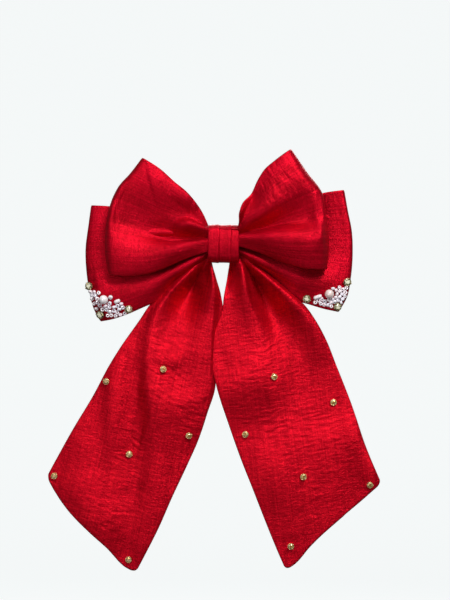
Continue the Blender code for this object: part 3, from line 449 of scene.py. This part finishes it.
def loop_layers(outline, folds, patches, waist, fold_y, puff, rear_puff, hem, squareness, seed):
    """The face and rear layers of one loop, as grids of points from the knot out to the fold."""
    u = 1 - (1 - np.linspace(0, 1, LOOP_ROWS)) ** 1.35
    v = steps(STRIP_COLUMNS)
    waist_edge = [outline["bottom"][0], outline["top"][0]]
    spots = coons(outline["bottom"], outline["top"], waist_edge, outline["fold"], u, v)
    uu, vv = u[:, None], v[None, :]
    swell = (1 - (1 - uu) ** 2.2) * np.sqrt(np.clip(1 - uu**squareness, 0, 1))
    edge_share = mix(1.0, hem, uu)
    crown = 1 - edge_share * np.abs(2 * vv - 1) ** 3.6
    fade = smooth_step((1 - uu) / 0.08)
    creases = folded(spots, folds, (0, 1)) * fade
    s, t = uu * LOOP_LENGTH, vv * STRIP_WIDTH
    texture = crinkled(spots, patches, s, t, seed, LOOP_CRINKLE) * fade * smooth_step(uu / 0.1)
    face = mix(waist[0], fold_y, smooth_step(uu)) - puff * swell * crown - creases - texture
    rear = mix(waist[1], fold_y, smooth_step(uu)) + rear_puff * swell * crown
    gathers = 1 + np.cos(2 * np.pi * (REAR_GATHERS * vv + 0.35 * rippled(uu * 3, vv * 4, seed + 5)))
    rear = rear + 0.5 * texture - mix(1.7, 0.4, uu) * gathers * fade * smooth_step(uu / 0.04)
    return [np.stack([spots[..., 0], depth, spots[..., 1]], -1) for depth in (face, rear)]


def band(name, left, right, folds, waist, fold_y, profile, seed, finish):
    """One strip folded to the middle at both ends, as a closed round of rows."""
    depths = (waist, fold_y, *profile)
    left_face, left_rear = loop_layers(left, folds[0], CRINKLES["left_loops"], *depths, seed)
    right_face, right_rear = loop_layers(right, folds[1], CRINKLES["right_loops"], *depths, seed + 10)
    shares = np.linspace(0, 1, 8)[1:-1, None, None]
    waist_face = mix(left_face[:1], right_face[:1], shares)
    waist_rear = mix(right_rear[:1], left_rear[:1], shares)
    points = np.concatenate([
        left_rear, left_face[-2::-1], waist_face, right_face, right_rear[-2::-1], waist_rear,
    ])
    middle = points[:, points.shape[1] // 2]
    distance = np.concatenate([[0], np.cumsum(np.linalg.norm(np.diff(middle, axis=0), axis=1))])
    return cloth(name, points, distance[:, None], steps(STRIP_COLUMNS) * STRIP_WIDTH, SILK_HALF, True, finish)


# ---- Tails ----
TAIL_ROWS = 440
TAIL_PIVOT_Y, TAIL_PIVOT_Z, TAIL_DROP = -20.9, -8.5, 205
TAIL_BULGE, TAIL_LEAN = 4.4, 8  # how far it comes forwards high up and low down
TAIL_LENGTH, TAIL_CORNER = 215, 3.5
TAIL_CRINKLE = 0.25


def tail(name, outline, folds, waves, patches, slant, seed, finish):
    """A flat tube of silk from inside the knot to its slanted end."""
    share = np.linspace(0, 1, TAIL_ROWS) ** 1.15
    v = steps(STRIP_COLUMNS)
    top = [outline["inner"][0], outline["outer"][0]]
    spots = coons(outline["inner"], outline["outer"], top, outline["end"], share, v)
    drop = (TAIL_PIVOT_Z - spots[..., 1]) / TAIL_DROP
    bulge, lean = TAIL_BULGE * smooth_step(drop / 0.48), TAIL_LEAN * smooth_step((drop - 0.35) / 1.1)
    depth = TAIL_PIVOT_Y - bulge - lean
    s, t = slant * spots[..., 0] - spots[..., 1], spots[..., 0] + slant * spots[..., 1]
    free = smooth_step((-spots[..., 1] - 6) / 14)
    depth = depth - (folded(spots, folds, (-1, 0)) + folded(spots, waves, (0, 1))) * free
    texture = crinkled(spots, patches, s, t, seed, TAIL_CRINKLE)
    depth = depth - texture * smooth_step((-spots[..., 1] - 20) / 40)
    depth = depth - 0.8 * rippled(s / 60, t / 34, seed + 7) * smooth_step((-spots[..., 1] - 60) / 60)
    spots = rounded_corners(spots, (1 - share) * TAIL_LENGTH, v * STRIP_WIDTH, TAIL_CORNER)
    points = np.stack([spots[..., 0], depth, spots[..., 1]], -1)
    return cloth(name, points, s, t, SILK_HALF + 0.1, False, finish)


# ---- Knot ----
KNOT_HALF_WIDTH, KNOT_FRONT, KNOT_BACK = 10.2, -31.3, -9.3
KNOT_TOP, KNOT_CORNER = 11.9, 5.6
KNOT_STRIP, KNOT_AROUND = 22, 84  # width of its strip and length round the waist
KNOT_TUCKS = [-3.0, 4.9]  # where its two pleats lie
KNOT_MIDDLE_Y = -21
KNOT_ROWS, KNOT_COLUMNS, KNOT_EDGE = 169, 60, 0.05


def knot_section():
    """The closed line of the strip round the waist, as (y, z) points."""
    path = []
    for centre_y, centre_z, radius, low, high in (
        (KNOT_BACK - 1.2, 4.8, 1.2, 0, 60),
        (-13.4, 10.4, 1.1, 45, 90),
        (KNOT_FRONT + KNOT_CORNER, KNOT_TOP - KNOT_CORNER, KNOT_CORNER, 90, 172),
    ):
        turns = np.radians(np.linspace(low, high, 8))
        path += [(centre_y + radius * math.cos(a), centre_z + radius * math.sin(a)) for a in turns]
    path += [(y, -z) for y, z in reversed(path)]
    path.append(path[0])
    return along(path, np.linspace(0, 1, KNOT_ROWS + 1)[:-1])


def knot(finish):
    """A pleated strip round the waist of everything."""
    line = knot_section()
    outwards = line - np.array([KNOT_MIDDLE_Y, 0])
    outwards /= np.linalg.norm(outwards, axis=1, keepdims=True)
    v = steps(KNOT_COLUMNS, KNOT_EDGE)
    x = (v * 2 - 1) * KNOT_HALF_WIDTH
    s = np.linspace(0, 1, KNOT_ROWS, endpoint=False)[:, None] * KNOT_AROUND
    lift = np.zeros((len(line), len(x)))
    for number, tuck in enumerate(KNOT_TUCKS):
        wander = tuck + 0.35 * rippled(s / 12, number * 3.7, 21)
        past = x[None] - wander
        lift += 0.5 * np.exp(-np.maximum(-past, 0) / 1.3) * smooth_step(0.5 - past / 0.35)
        lift -= 0.35 * np.exp(-((past / 0.4) ** 2))
    lift += 0.25 * rippled(s / 9, x[None] / 5, 22) - 0.5 * np.abs(x[None] / KNOT_HALF_WIDTH) ** 6
    points = np.zeros((len(line), len(x), 3))
    points[..., 0] = x[None]
    points[..., 1:] = line[:, None] + outwards[:, None] * lift[..., None]
    return cloth("knot_silk", points, s, v * KNOT_STRIP, SILK_HALF, True, finish, edge=KNOT_EDGE)


# ---- Finishes ----
class Finish:
    """A material whose nodes are added one by one."""

    def __init__(self, name, **values):
        self.made = bpy.data.materials.new(name)
        self.made.use_nodes = True
        self.tree = self.made.node_tree
        self.shader = self.tree.nodes["Principled BSDF"]
        for key, value in values.items():
            self.shader.inputs[key.replace("_", " ")].default_value = value

    def node(self, kind, **values):
        made = self.tree.nodes.new("ShaderNode" + kind)
        for key, value in values.items():
            if hasattr(made, key):
                setattr(made, key, value)
            else:
                self.put(made, key.replace("_", " "), value)
        return made

    def put(self, node, key, value):
        socket = node.inputs[int(key)] if key.strip().isdigit() else node.inputs[key]
        if isinstance(value, bpy.types.NodeSocket):
            self.tree.links.new(value, socket)
        else:
            socket.default_value = value

    def noise(self, place, scale, detail=2.0, roughness=0.5):
        mapping = self.node("Mapping", Vector=place, Scale=scale)
        made = self.node("TexNoise", Vector=mapping.outputs[0], Scale=1.0, Detail=detail, Roughness=roughness)
        return made.outputs[0]

    def threads(self, place, direction, scale):
        """Fine even threads, side by side in one direction."""
        made = self.node("TexWave", bands_direction=direction, Vector=place, Scale=scale)
        self.put(made, "Distortion", 1.2)
        self.put(made, "Detail", 1.0)
        return made.outputs[1]

    def maths(self, operation, a, b, clamp=False):
        made = self.node("Math", operation=operation, use_clamp=clamp)
        self.put(made, "0", a)
        self.put(made, "1", b)
        return made.outputs[0]

    def total(self, first, *others):
        """The sum of (value, weight) pairs."""
        made = self.maths("MULTIPLY", *first)
        for pair in others:
            made = self.maths("ADD", made, self.maths("MULTIPLY", *pair))
        return made

    def ramp(self, value, *stops):
        made = self.node("ValToRGB", Fac=value)
        elements = made.color_ramp.elements
        while len(elements) < len(stops):
            elements.new(0.5)
        for element, (place, colour) in zip(elements, stops):
            element.position, element.color = place, (*colour, 1)
        return made.outputs[0]

    def bump(self, height, distance, strength=1.0):
        made = self.node("Bump", Height=height, Distance=distance, Strength=strength)
        self.put(self.shader, "Normal", made.outputs[0])


def silk(name, deep, mid, bright, crinkle):
    """Dupion silk: fine weave, slubs along the strip, crinkles across it, satin sheen."""
    made = Finish(name, Metallic=0.6, Specular_IOR_Level=0.08)
    strip = made.node("UVMap", uv_map="strip").outputs[0]
    slub = made.noise(strip, (16, 900, 1), 3, 0.6)
    thick_slub = made.noise(strip, (22, 210, 1), 2)
    crosswise = made.noise(strip, (620, 85, 1), 3, 0.6)
    pebble = made.noise(strip, (520, 300, 1), 4, 0.65)
    mottle = made.noise(strip, (55, 40, 1), 3)
    weave = made.maths("MULTIPLY", made.threads(strip, "X", 560.0), made.threads(strip, "Y", 640.0))
    tone = made.total(
        (slub, 0.42), (thick_slub, 0.2), (crosswise, 0.2 * crinkle), (mottle, 0.3), (weave, 0.1),
        (made.maths("SUBTRACT", pebble, 0.5), 0.3 * crinkle),
    )
    made.put(made.shader, "Base Color", made.ramp(tone, (0.38, deep), (0.58, mid), (0.8, bright)))
    rough = made.maths("ADD", made.maths("MULTIPLY", slub, 0.2), 0.27)
    made.put(made.shader, "Roughness", rough)
    height = made.total(
        (slub, 0.5), (weave, 0.16), (crosswise, 0.7 * crinkle), (thick_slub, 0.5), (pebble, 0.9 * crinkle),
    )
    made.bump(height, 0.0006, 0.8)
    return made.made


def metal(name, colour, roughness, scratch):
    """Polished metal with fine scratches and slightly uneven gloss."""
    made = Finish(name, Metallic=1.0)
    place = made.node("TexCoord").outputs["Object"]
    lines = made.noise(place, (900, 9000, 2600), 3, 0.6)
    cloudy = made.noise(place, (160, 160, 160), 2)
    tint = tuple(0.8 * c for c in colour)
    made.put(made.shader, "Base Color", made.ramp(cloudy, (0.3, tint), (0.6, colour)))
    rough = made.maths("ADD", made.maths("MULTIPLY", cloudy, 0.16), roughness)
    made.put(made.shader, "Roughness", rough)
    made.bump(lines, scratch)
    return made.made


def glass_bead(name, *colours):
    """Lined glass: each bead has its own tint."""
    made = Finish(name, Roughness=0.2, Coat_Weight=1.0, Coat_Roughness=0.05)
    own = made.node("NewGeometry").outputs["Random Per Island"]
    stops = [(k / len(colours), c) for k, c in enumerate(colours)]
    place = made.node("TexCoord").outputs["Object"]
    swirl = made.noise(place, (700, 700, 700), 2)
    tone = made.maths("ADD", own, made.maths("MULTIPLY", swirl, 0.25), clamp=True)
    made.put(made.shader, "Base Color", made.ramp(tone, *stops))
    return made.made


def crystal(name, colour, roughness, mirror=0.3):
    """One tone of a foil-backed stone: a painted reflection, standing in for the part of its inside that a
    facet mirrors.
    """
    made = Finish(name, Metallic=mirror, Roughness=roughness, Coat_Weight=1.0, Coat_Roughness=0.03)
    place = made.node("TexCoord").outputs["Object"]
    # Painted reflection inside the facet: noise mottles it between a darker copy of the colour and the
    # colour.
    inner = made.noise(place, (900, 900, 900), 2)
    dark = tuple(0.62 * c for c in colour)
    made.put(made.shader, "Base Color", made.ramp(inner, (0.35, dark), (0.62, colour)))
    return made.made


def pearl_finish(name, colour, blush):
    made = Finish(name, Metallic=0.1, Roughness=0.3, Coat_Weight=1.0, Coat_Roughness=0.08)
    place = made.node("TexCoord").outputs["Object"]
    cloudy = made.noise(place, (260, 260, 260), 2)
    made.put(made.shader, "Base Color", made.ramp(cloudy, (0.35, blush), (0.65, colour)))
    return made.made


def thread_finish(name, colour):
    made = Finish(name, Roughness=0.7, Sheen_Weight=0.4)
    place = made.node("TexCoord").outputs["Object"]
    twist = made.noise(place, (1500, 3200, 1500), 2)
    dark = tuple(0.55 * c for c in colour)
    made.put(made.shader, "Base Color", made.ramp(twist, (0.35, dark), (0.65, colour)))
    made.bump(twist, 0.0002)
    return made.made


# ---- Stones, beads and pearls ----
def surface_of(obj):
    corners = [tuple(face.vertices) for face in obj.data.polygons]
    return BVHTree.FromPolygons([vertex.co.copy() for vertex in obj.data.vertices], corners)


def on_surface(tree, x, z):
    """The place and outward direction on a surface where (x, z) in mm is seen from the front."""
    place, normal, _, _ = tree.ray_cast(Vector((x * MM, -0.2, z * MM)), Vector((0, 1, 0)))
    if place is None:
        place, normal, _, _ = tree.find_nearest(Vector((x * MM, -0.02, z * MM)))
    normal = normal if normal.y < 0 else -normal
    return place, (normal + Vector((0, -1, 0))).normalized()


def ring(bm, radius, height, count, turn=0.0):
    turns = [2 * math.pi * (k + turn) / count for k in range(count)]
    return [bm.verts.new((radius * math.cos(a), radius * math.sin(a), height)) for a in turns]


def joined(bm, low, high, material=None):
    """Faces between two rings of the same length, or between a ring and a point."""
    count = max(len(low), len(high))
    for k in range(count):
        corners = [low[k % len(low)], low[(k + 1) % len(low)], high[(k + 1) % len(high)], high[k % len(high)]]
        face = bm.faces.new(list(dict.fromkeys(corners)))
        if material is not None:
            face.material_index = material[k % len(material)]


def brilliant(name, radius, finishes, turn, seed):
    """A round cut stone: table, two rows of crown facets, girdle and pavilion. Each facet gets one of the
    stone's tones, which are painted reflections: painted glints and painted dark reflections.
    """
    # Which painted reflection each facet shows, shuffled per stone.
    painted_reflection_tones = np.random.default_rng(seed).permutation([0, 1, 2, 0, 1, 3, 0, 2]).tolist()
    bm = bmesh.new()
    point = [bm.verts.new((0, 0, -0.55 * radius))]
    low = ring(bm, radius, 0, 8, turn)
    girdle = ring(bm, radius, 0.14 * radius, 8, turn)
    crown = ring(bm, 0.8 * radius, 0.36 * radius, 8, turn + 0.5)
    table = ring(bm, 0.5 * radius, 0.5 * radius, 8, turn)
    joined(bm, point, low, [1])
    joined(bm, low, girdle, [1])
    for k in range(8):
        n = (k + 1) % 8
        sides = (
            (girdle[k], girdle[n], crown[k]), (crown[k], girdle[n], crown[n]),
            (table[k], crown[k], table[n]), (table[n], crown[k], crown[n]),
        )
        for face, tone in zip(sides, (k, k + 3, k + 5, k + 2)):
            bm.faces.new(face).material_index = painted_reflection_tones[tone % 8]
    bm.faces.new(table).material_index = 2
    bmesh.ops.recalc_face_normals(bm, faces=bm.faces)
    return built(name, bm, *finishes, smooth=False)


# Along a prong: distance from the stone's middle and height, both in stone radii, then thickness and lean.
PRONG = [(1.1, 0.0, 0.17, 0), (1.12, 0.24, 0.17, 0.25), (1.04, 0.4, 0.15, 0.9), (0.84, 0.5, 0.1, 1.2)]
CUP = [(0.3, -0.62), (0.8, -0.6), (1.0, -0.3), (1.12, 0.05), (1.13, 0.16), (1.07, 0.22), (1.02, 0.16),
       (1.02, -0.02), (0.8, -0.4), (0.3, -0.52)]


def prong(bm, radius, spin):
    """One prong of a setting, bent over the stone."""
    last = None
    for r, z, thickness, lean in PRONG:
        size = thickness * radius
        corners = []
        for k in range(6):
            a = 2 * math.pi * k / 6
            x, y = size * math.sin(a), size * math.cos(a)
            away = Vector((x * math.cos(lean), y, x * math.sin(lean)))
            corners.append(bm.verts.new(spin @ (Vector((r * radius, 0, z * radius)) + away)))
        if last:
            joined(bm, last, corners)
        else:
            bm.faces.new(corners)
        last = corners
    bm.faces.new(last)


def cup(name, radius, finish, turn):
    """The metal setting: a dished cup with a rolled rim and four prongs bent over the stone."""
    bm = bmesh.new()
    rings = [ring(bm, r * radius, z * radius, 24) for r, z in CUP]
    for a, b in zip(rings, rings[1:] + rings[:1]):
        joined(bm, a, b)
    for k in range(4):
        prong(bm, radius, Matrix.Rotation(2 * math.pi * (k / 4 + turn), 4, "Z"))
    bmesh.ops.recalc_face_normals(bm, faces=bm.faces)
    return built(name, bm, finish)


def stood(obj, place, normal, lift):
    """Bakes the object's place into its mesh, with its +Z along the normal."""
    turn = normal.to_track_quat("Z", "Y").to_matrix().to_4x4()
    obj.data.transform(Matrix.Translation(place + normal * lift) @ turn)
    return obj


def sewn_stone(node, radius, spot, tree, body, look, seed):
    """A stone in its setting, standing on the silk at a spot in mm.

    look is the finishes of the stone's facets and the metal of its setting.
    """
    place, normal = on_surface(tree, *spot)
    turn = (seed * 0.37) % 1
    radius = radius * MM
    stone = stood(brilliant(node + "_cut", radius, look[0], turn, seed), place, normal, 0.78 * radius)
    setting = stood(cup(node + "_cup", radius, look[1], turn), place, normal, 0.72 * radius)
    pairs = ((stone, node, "champagne_crystal"), (setting, node + "_setting", "gilt_setting"))
    for piece, cad, slot in pairs:
        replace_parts(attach(piece, body), cad)


def scattered(field, taken, count, seed):
    """Spots for seed beads inside a convex outline, in mm.

    They keep clear of each other and of the (spot, radius) pairs that are taken.
    """
    random = np.random.default_rng(seed)
    field = np.array(field, float)
    centre = field.mean(0)
    edges = np.roll(field, -1, 0) - field
    outwards = np.stack([edges[:, 1], -edges[:, 0]], 1) / np.linalg.norm(edges, axis=1, keepdims=True)
    outwards *= np.sign(((field - centre) * outwards).sum(1))[:, None]
    blocked = np.array([place for place, _ in taken], float)
    room = np.array([radius for _, radius in taken], float) + SEED_RADIUS * 0.9

    def beyond(spots):
        return ((spots[:, None] - field[None]) * outwards[None]).sum(-1) + SEED_RADIUS * 0.6

    choice = random.uniform(field.min(0), field.max(0), (1500, 2))
    clear = np.linalg.norm(choice[:, None] - blocked[None], axis=-1) > room
    choice = choice[clear.all(1) & (beyond(choice) < 0).all(1)]
    spots = [choice[0]]
    for _ in range(count - 1):
        gaps = np.linalg.norm(choice[:, None] - np.array(spots)[None], axis=-1).min(1)
        spots.append(choice[gaps.argmax()])
    spots = np.array(spots) + random.uniform(-0.35, 0.35, (count, 2))
    for _ in range(80):
        apart = spots[:, None] - spots[None]
        gap = np.linalg.norm(apart, axis=-1) + np.eye(len(spots)) * 99
        push = (apart / gap[..., None] * np.clip(SEED_SPACING - gap, 0, None)[..., None]).sum(1) * 0.3
        away = spots[:, None] - blocked[None]
        near = np.linalg.norm(away, axis=-1)
        push += (away / near[..., None] * np.clip(room - near, 0, None)[..., None]).sum(1) * 0.6
        push -= (np.clip(beyond(spots), 0, None)[..., None] * outwards[None]).sum(1) * 0.5
        spots = spots + push
    return spots


def bead_rings(bm, radius, hole, half, place, sides=14):
    """A glass bead with a hole, added to bm."""
    bulge = radius - hole
    inner, outer = hole + 0.35 * bulge, radius - 0.12 * bulge
    profile = [(hole, -half), (inner, -half * 1.02), (outer, -half * 0.72), (radius, 0), (outer, half * 0.72),
               (inner, half * 1.02), (hole, half)]
    rings = [ring(bm, r, z, sides) for r, z in profile]
    for loop in rings:
        for vertex in loop:
            vertex.co = place @ vertex.co
    for a, b in zip(rings, rings[1:] + rings[:1]):
        joined(bm, a, b)


def seed_beads(side, plan, taken, tree, finish):
    """The seed beads of one corner, tumbled a little, as one piece."""
    random = np.random.default_rng(plan["seed"])
    bm = bmesh.new()
    for spot in scattered(plan["field"], taken, plan["seeds"], plan["seed"]):
        place, normal = on_surface(tree, *spot)
        tilt = Vector(random.normal(0, 1, 3)) * 0.8 + normal * random.uniform(0.3, 2.2)
        turn = tilt.normalized().to_track_quat("Z", "Y").to_matrix().to_4x4()
        lying = 1 - abs(tilt.normalized().dot(normal))
        lift = mix(SEED_HALF, SEED_RADIUS, lying) + 0.1 + random.uniform(0, 0.5)
        size = random.uniform(0.9, 1.08)
        matrix = Matrix.Translation(place + normal * lift * MM) @ turn @ Matrix.Scale(size * MM, 4)
        bead_rings(bm, SEED_RADIUS, SEED_HOLE, SEED_HALF, matrix)
    bmesh.ops.recalc_face_normals(bm, faces=bm.faces)
    seeds = built(side + "_seeds", bm, finish)
    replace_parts(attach(seeds, "bow"), side + "_seed_beads")


def bugle_bead(side, ends, tree, finish):
    """A tube-shaped bead lying between two spots."""
    low, high = (on_surface(tree, *spot)[0] for spot in ends)
    normal = on_surface(tree, *ends.mean(0))[1]
    turn = (high - low).to_track_quat("Z", "Y").to_matrix().to_4x4()
    matrix = Matrix.Translation((low + high) / 2 + normal * 1.6 * MM) @ turn @ Matrix.Scale(MM, 4)
    bm = bmesh.new()
    bead_rings(bm, BUGLE_RADIUS, BUGLE_HOLE, (high - low).length / MM / 2, matrix, 18)
    bmesh.ops.recalc_face_normals(bm, faces=bm.faces)
    bugle = built(side + "_bugle", bm, finish)
    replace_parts(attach(bugle, "bow"), side + "_bugle_bead")


def pearl(side, spot, tree, finish):
    place, normal = on_surface(tree, *spot)
    bm = bmesh.new()
    bmesh.ops.create_uvsphere(bm, u_segments=40, v_segments=26, radius=PEARL_RADIUS * MM)
    ball = stood(built(side + "_pearl_ball", bm, finish), place, normal, (PEARL_RADIUS + 0.1) * MM)
    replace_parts(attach(ball, "bow"), side + "_pearl")


def beaded_corner(side, plan, tree, finishes):
    """One beaded corner: three stones, a pearl, a bugle bead and seed beads."""
    for number, spot in enumerate(plan["stones"], 1):
        node = f"{side}_corner_stone_{number}"
        look = finishes["corner_stone"]
        sewn_stone(node, CORNER_STONE_RADIUS, spot, tree, "bow", look, number + plan["seed"])
    ends = np.array(plan["bugle"], float)
    taken = [(spot, CORNER_STONE_RADIUS * 1.05) for spot in plan["stones"]] + [(plan["pearl"], PEARL_RADIUS)]
    taken += [(tuple(mix(ends[0], ends[1], k / 3)), 1.2) for k in range(4)]
    seed_beads(side, plan, taken, tree, finishes["seed"])
    bugle_bead(side, ends, tree, finishes["bugle"])
    pearl(side, plan["pearl"], tree, finishes[side + "_pearl"])


# ---- Studio, in metres ----
FLOOR_FRONT, FLOOR_Z = -4.0, -0.62
WALL_Y, WALL_TOP, WALL_HALF = 2.8, 4.0, 4
SWEEP_RADIUS = 0.8
AIM = (0, -0.02, -0.06)
LIGHTS = (  # name, place, size, power, colour
    ("key", (0.42, -1.0, 0.85), 0.42, 16.5, (1, 0.98, 0.96)),
    ("fill", (-0.5, -1.15, 0.0), 0.9, 4.6, (0.97, 0.98, 1)),
    ("top", (-0.1, -0.35, 1.1), 0.5, 3.5, (1, 1, 1)),
    ("back", (0.2, 1.1, 0.7), 0.8, 7, (1, 1, 1)),
)
CAMERA_PLACE, CAMERA_LENS = (0.001, -0.957, -0.037), 85


def backdrop():
    """A pale floor that sweeps up to a far wall."""
    start_y, middle_z = WALL_Y - SWEEP_RADIUS, FLOOR_Z + SWEEP_RADIUS
    profile = [(FLOOR_FRONT, FLOOR_Z), (start_y, FLOOR_Z)]
    for a in np.radians(np.linspace(8, 90, 12)):
        profile.append((start_y + SWEEP_RADIUS * math.sin(a), middle_z - SWEEP_RADIUS * math.cos(a)))
    profile.append((WALL_Y, WALL_TOP))
    bm = bmesh.new()
    lines = [[bm.verts.new((x, y, z)) for y, z in profile] for x in (-WALL_HALF, WALL_HALF)]
    for a, b, c, d in zip(lines[0], lines[0][1:], lines[1][1:], lines[1]):
        bm.faces.new((a, b, c, d))
    paper = Finish("white_paper", Base_Color=(0.3, 0.31, 0.31, 1), Roughness=0.9, Emission_Strength=0.86)
    paper.put(paper.shader, "Emission Color", (0.97, 1, 1, 1))
    sweep = built("sweep", bm, paper.made)
    sweep.visible_diffuse = sweep.visible_glossy = False


def sky():
    """A dim even sky that looks white where the camera sees it."""
    world = bpy.data.worlds.new("studio")
    world.use_nodes = True
    bpy.context.scene.world = world
    tree = world.node_tree
    background = tree.nodes["Background"]
    background.inputs["Color"].default_value = (0.97, 0.985, 1, 1)
    path = tree.nodes.new("ShaderNodeLightPath")
    strength = tree.nodes.new("ShaderNodeMix")
    strength.inputs["A"].default_value, strength.inputs["B"].default_value = 0.12, 1.0
    tree.links.new(path.outputs["Is Camera Ray"], strength.inputs["Factor"])
    tree.links.new(strength.outputs["Result"], background.inputs["Strength"])


def lamps():
    for name, place, size, power, colour in LIGHTS:
        light = bpy.data.lights.new(name, "AREA")
        light.size, light.energy, light.color = size, power, colour
        lamp = bpy.data.objects.new(name, light)
        lamp.location = place
        lamp.rotation_euler = (Vector(AIM) - Vector(place)).to_track_quat("-Z", "Y").to_euler()
        bpy.context.scene.collection.objects.link(lamp)


def camera():
    """A level camera in front of the bow."""
    lens = bpy.data.cameras.new("camera")
    lens.lens, lens.sensor_width = CAMERA_LENS, 36
    eye = bpy.data.objects.new("camera", lens)
    eye.location, eye.rotation_euler = CAMERA_PLACE, (math.pi / 2, 0, 0)
    bpy.context.scene.collection.objects.link(eye)
    bpy.context.scene.camera = eye
    bpy.context.scene.view_settings.view_transform = "Standard"


# ---- The bow ----
def trim_finishes():
    """The finishes of stones, beads and pearls. A stone's four finishes go to its facets in turn: they are
    painted reflections, from a painted glint to a painted dark reflection.
    """
    return {
        "corner_stone": (
            # Corner stones: light and dark copies of olive as painted reflections, a bright painted glint and
            # a near-black painted dark reflection.
            [crystal("olive_painted_light_reflection", (0.62, 0.58, 0.3), 0.14), crystal("olive", (0.2, 0.18, 0.06), 0.1),
             crystal("olive_painted_glint", (1.0, 0.98, 0.74), 0.25, 0), crystal("olive_painted_dark_reflection", (0.05, 0.04, 0.03), 0.08)],
            metal("aged_gilt", (0.52, 0.42, 0.25), 0.3, 0.00004),
        ),
        "tail_stone": (
            # Tail stones: a bright painted glint, the champagne colour, a dim painted reflection and a
            # near-black painted dark reflection.
            [crystal("champagne_painted_glint", (1.0, 0.9, 0.5), 0.22, 0.5),
             crystal("champagne", (0.98, 0.7, 0.2), 0.2, 0.7),
             crystal("champagne_painted_dim_reflection", (0.4, 0.2, 0.04), 0.12), crystal("champagne_painted_dark_reflection", (0.1, 0.05, 0.02), 0.08)],
            metal("gilt", (0.95, 0.72, 0.36), 0.3, 0.00004),
        ),
        "seed": glass_bead(
            "seed_glass", (1, 0.97, 1), (0.93, 0.8, 0.88), (1, 0.92, 0.95), (0.88, 0.84, 0.92),
        ),
        "bugle": glass_bead("bugle_glass", (0.96, 0.94, 0.96), (0.92, 0.85, 0.88)),
        "left_pearl": pearl_finish("pearl_white", (0.96, 0.93, 0.94), (0.88, 0.8, 0.83)),
        "right_pearl": pearl_finish("pearl_peach", (0.92, 0.8, 0.76), (0.86, 0.68, 0.64)),
    }


def bands_and_knot(red):
    """Both bands and the knot round them. Gives the back band, whose corners are beaded."""
    front = band("front_band_silk", FRONT_LEFT, FRONT_RIGHT, (FRONT_LEFT_FOLDS, FRONT_RIGHT_FOLDS),
                 FRONT_WAIST, FRONT_FOLD_Y, FRONT_PROFILE, 3, red)
    back = band("back_band_silk", BACK_LEFT, BACK_RIGHT, (BACK_LEFT_FOLDS, BACK_RIGHT_FOLDS),
                BACK_WAIST, BACK_FOLD_Y, BACK_PROFILE, 5, red)
    wrap = knot(red)
    for piece, node, length in ((front, "front_band", 0.3), (back, "back_band", 0.36)):
        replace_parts(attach(piece, "bow"), node)
    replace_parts(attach(wrap, "bow"), "knot_wrap")
    return back


def stoned_tail(body, outline, folds, waves, slant, stones, seed, finish, look):
    """One tail, and the stones sewn on it."""
    piece = tail(body + "_silk", outline, folds, waves, CRINKLES[body], slant, seed, finish)
    tree = surface_of(piece)
    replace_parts(piece, body)
    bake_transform(piece)
    for number, spot in enumerate(stones, 1):
        sewn_stone(f"{body}_stone_{number}", TAIL_STONE_RADIUS, spot, tree, body, look, number + seed)


def finish_solids(nodes):
    """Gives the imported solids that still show, the clip and the threads, their materials."""
    steel = metal("nickel_steel", (0.78, 0.77, 0.75), 0.16, 0.00005)
    cotton = thread_finish("cotton_thread", (0.5, 0.005, 0.02))
    for name, node in nodes.items():
        if node.hide_render:
            continue
        node.data.materials.clear()
        node.data.materials.append(cotton if "stitch" in name or "thread" in name else steel)


def main():
    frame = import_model()
    red = silk("crimson_dupion", (0.30, 0.0004, 0.006), (0.52, 0.0010, 0.014), (0.76, 0.0026, 0.026), 0.6)
    warm_red = silk(
        "crinkled_dupion", (0.30, 0.0004, 0.005), (0.52, 0.0012, 0.012), (0.76, 0.005, 0.018), 1.1,
    )
    trim = trim_finishes()
    back = bands_and_knot(red)
    for body, outline, folds, waves, slant, stones, seed in (
        ("left_tail", LEFT_TAIL, LEFT_TAIL_FOLDS, LEFT_TAIL_WAVES, -0.2, LEFT_TAIL_STONES, 31),
        ("right_tail", RIGHT_TAIL, RIGHT_TAIL_FOLDS, RIGHT_TAIL_WAVES, 0.12, RIGHT_TAIL_STONES, 47),
    ):
        stoned_tail(body, outline, folds, waves, slant, stones, seed, warm_red, trim["tail_stone"])
    tree = surface_of(back)
    for side, plan in CORNERS.items():
        beaded_corner(side, plan, tree, trim)
    finish_solids(frame["nodes"])
    backdrop()
    sky()
    lamps()
    camera()


main()
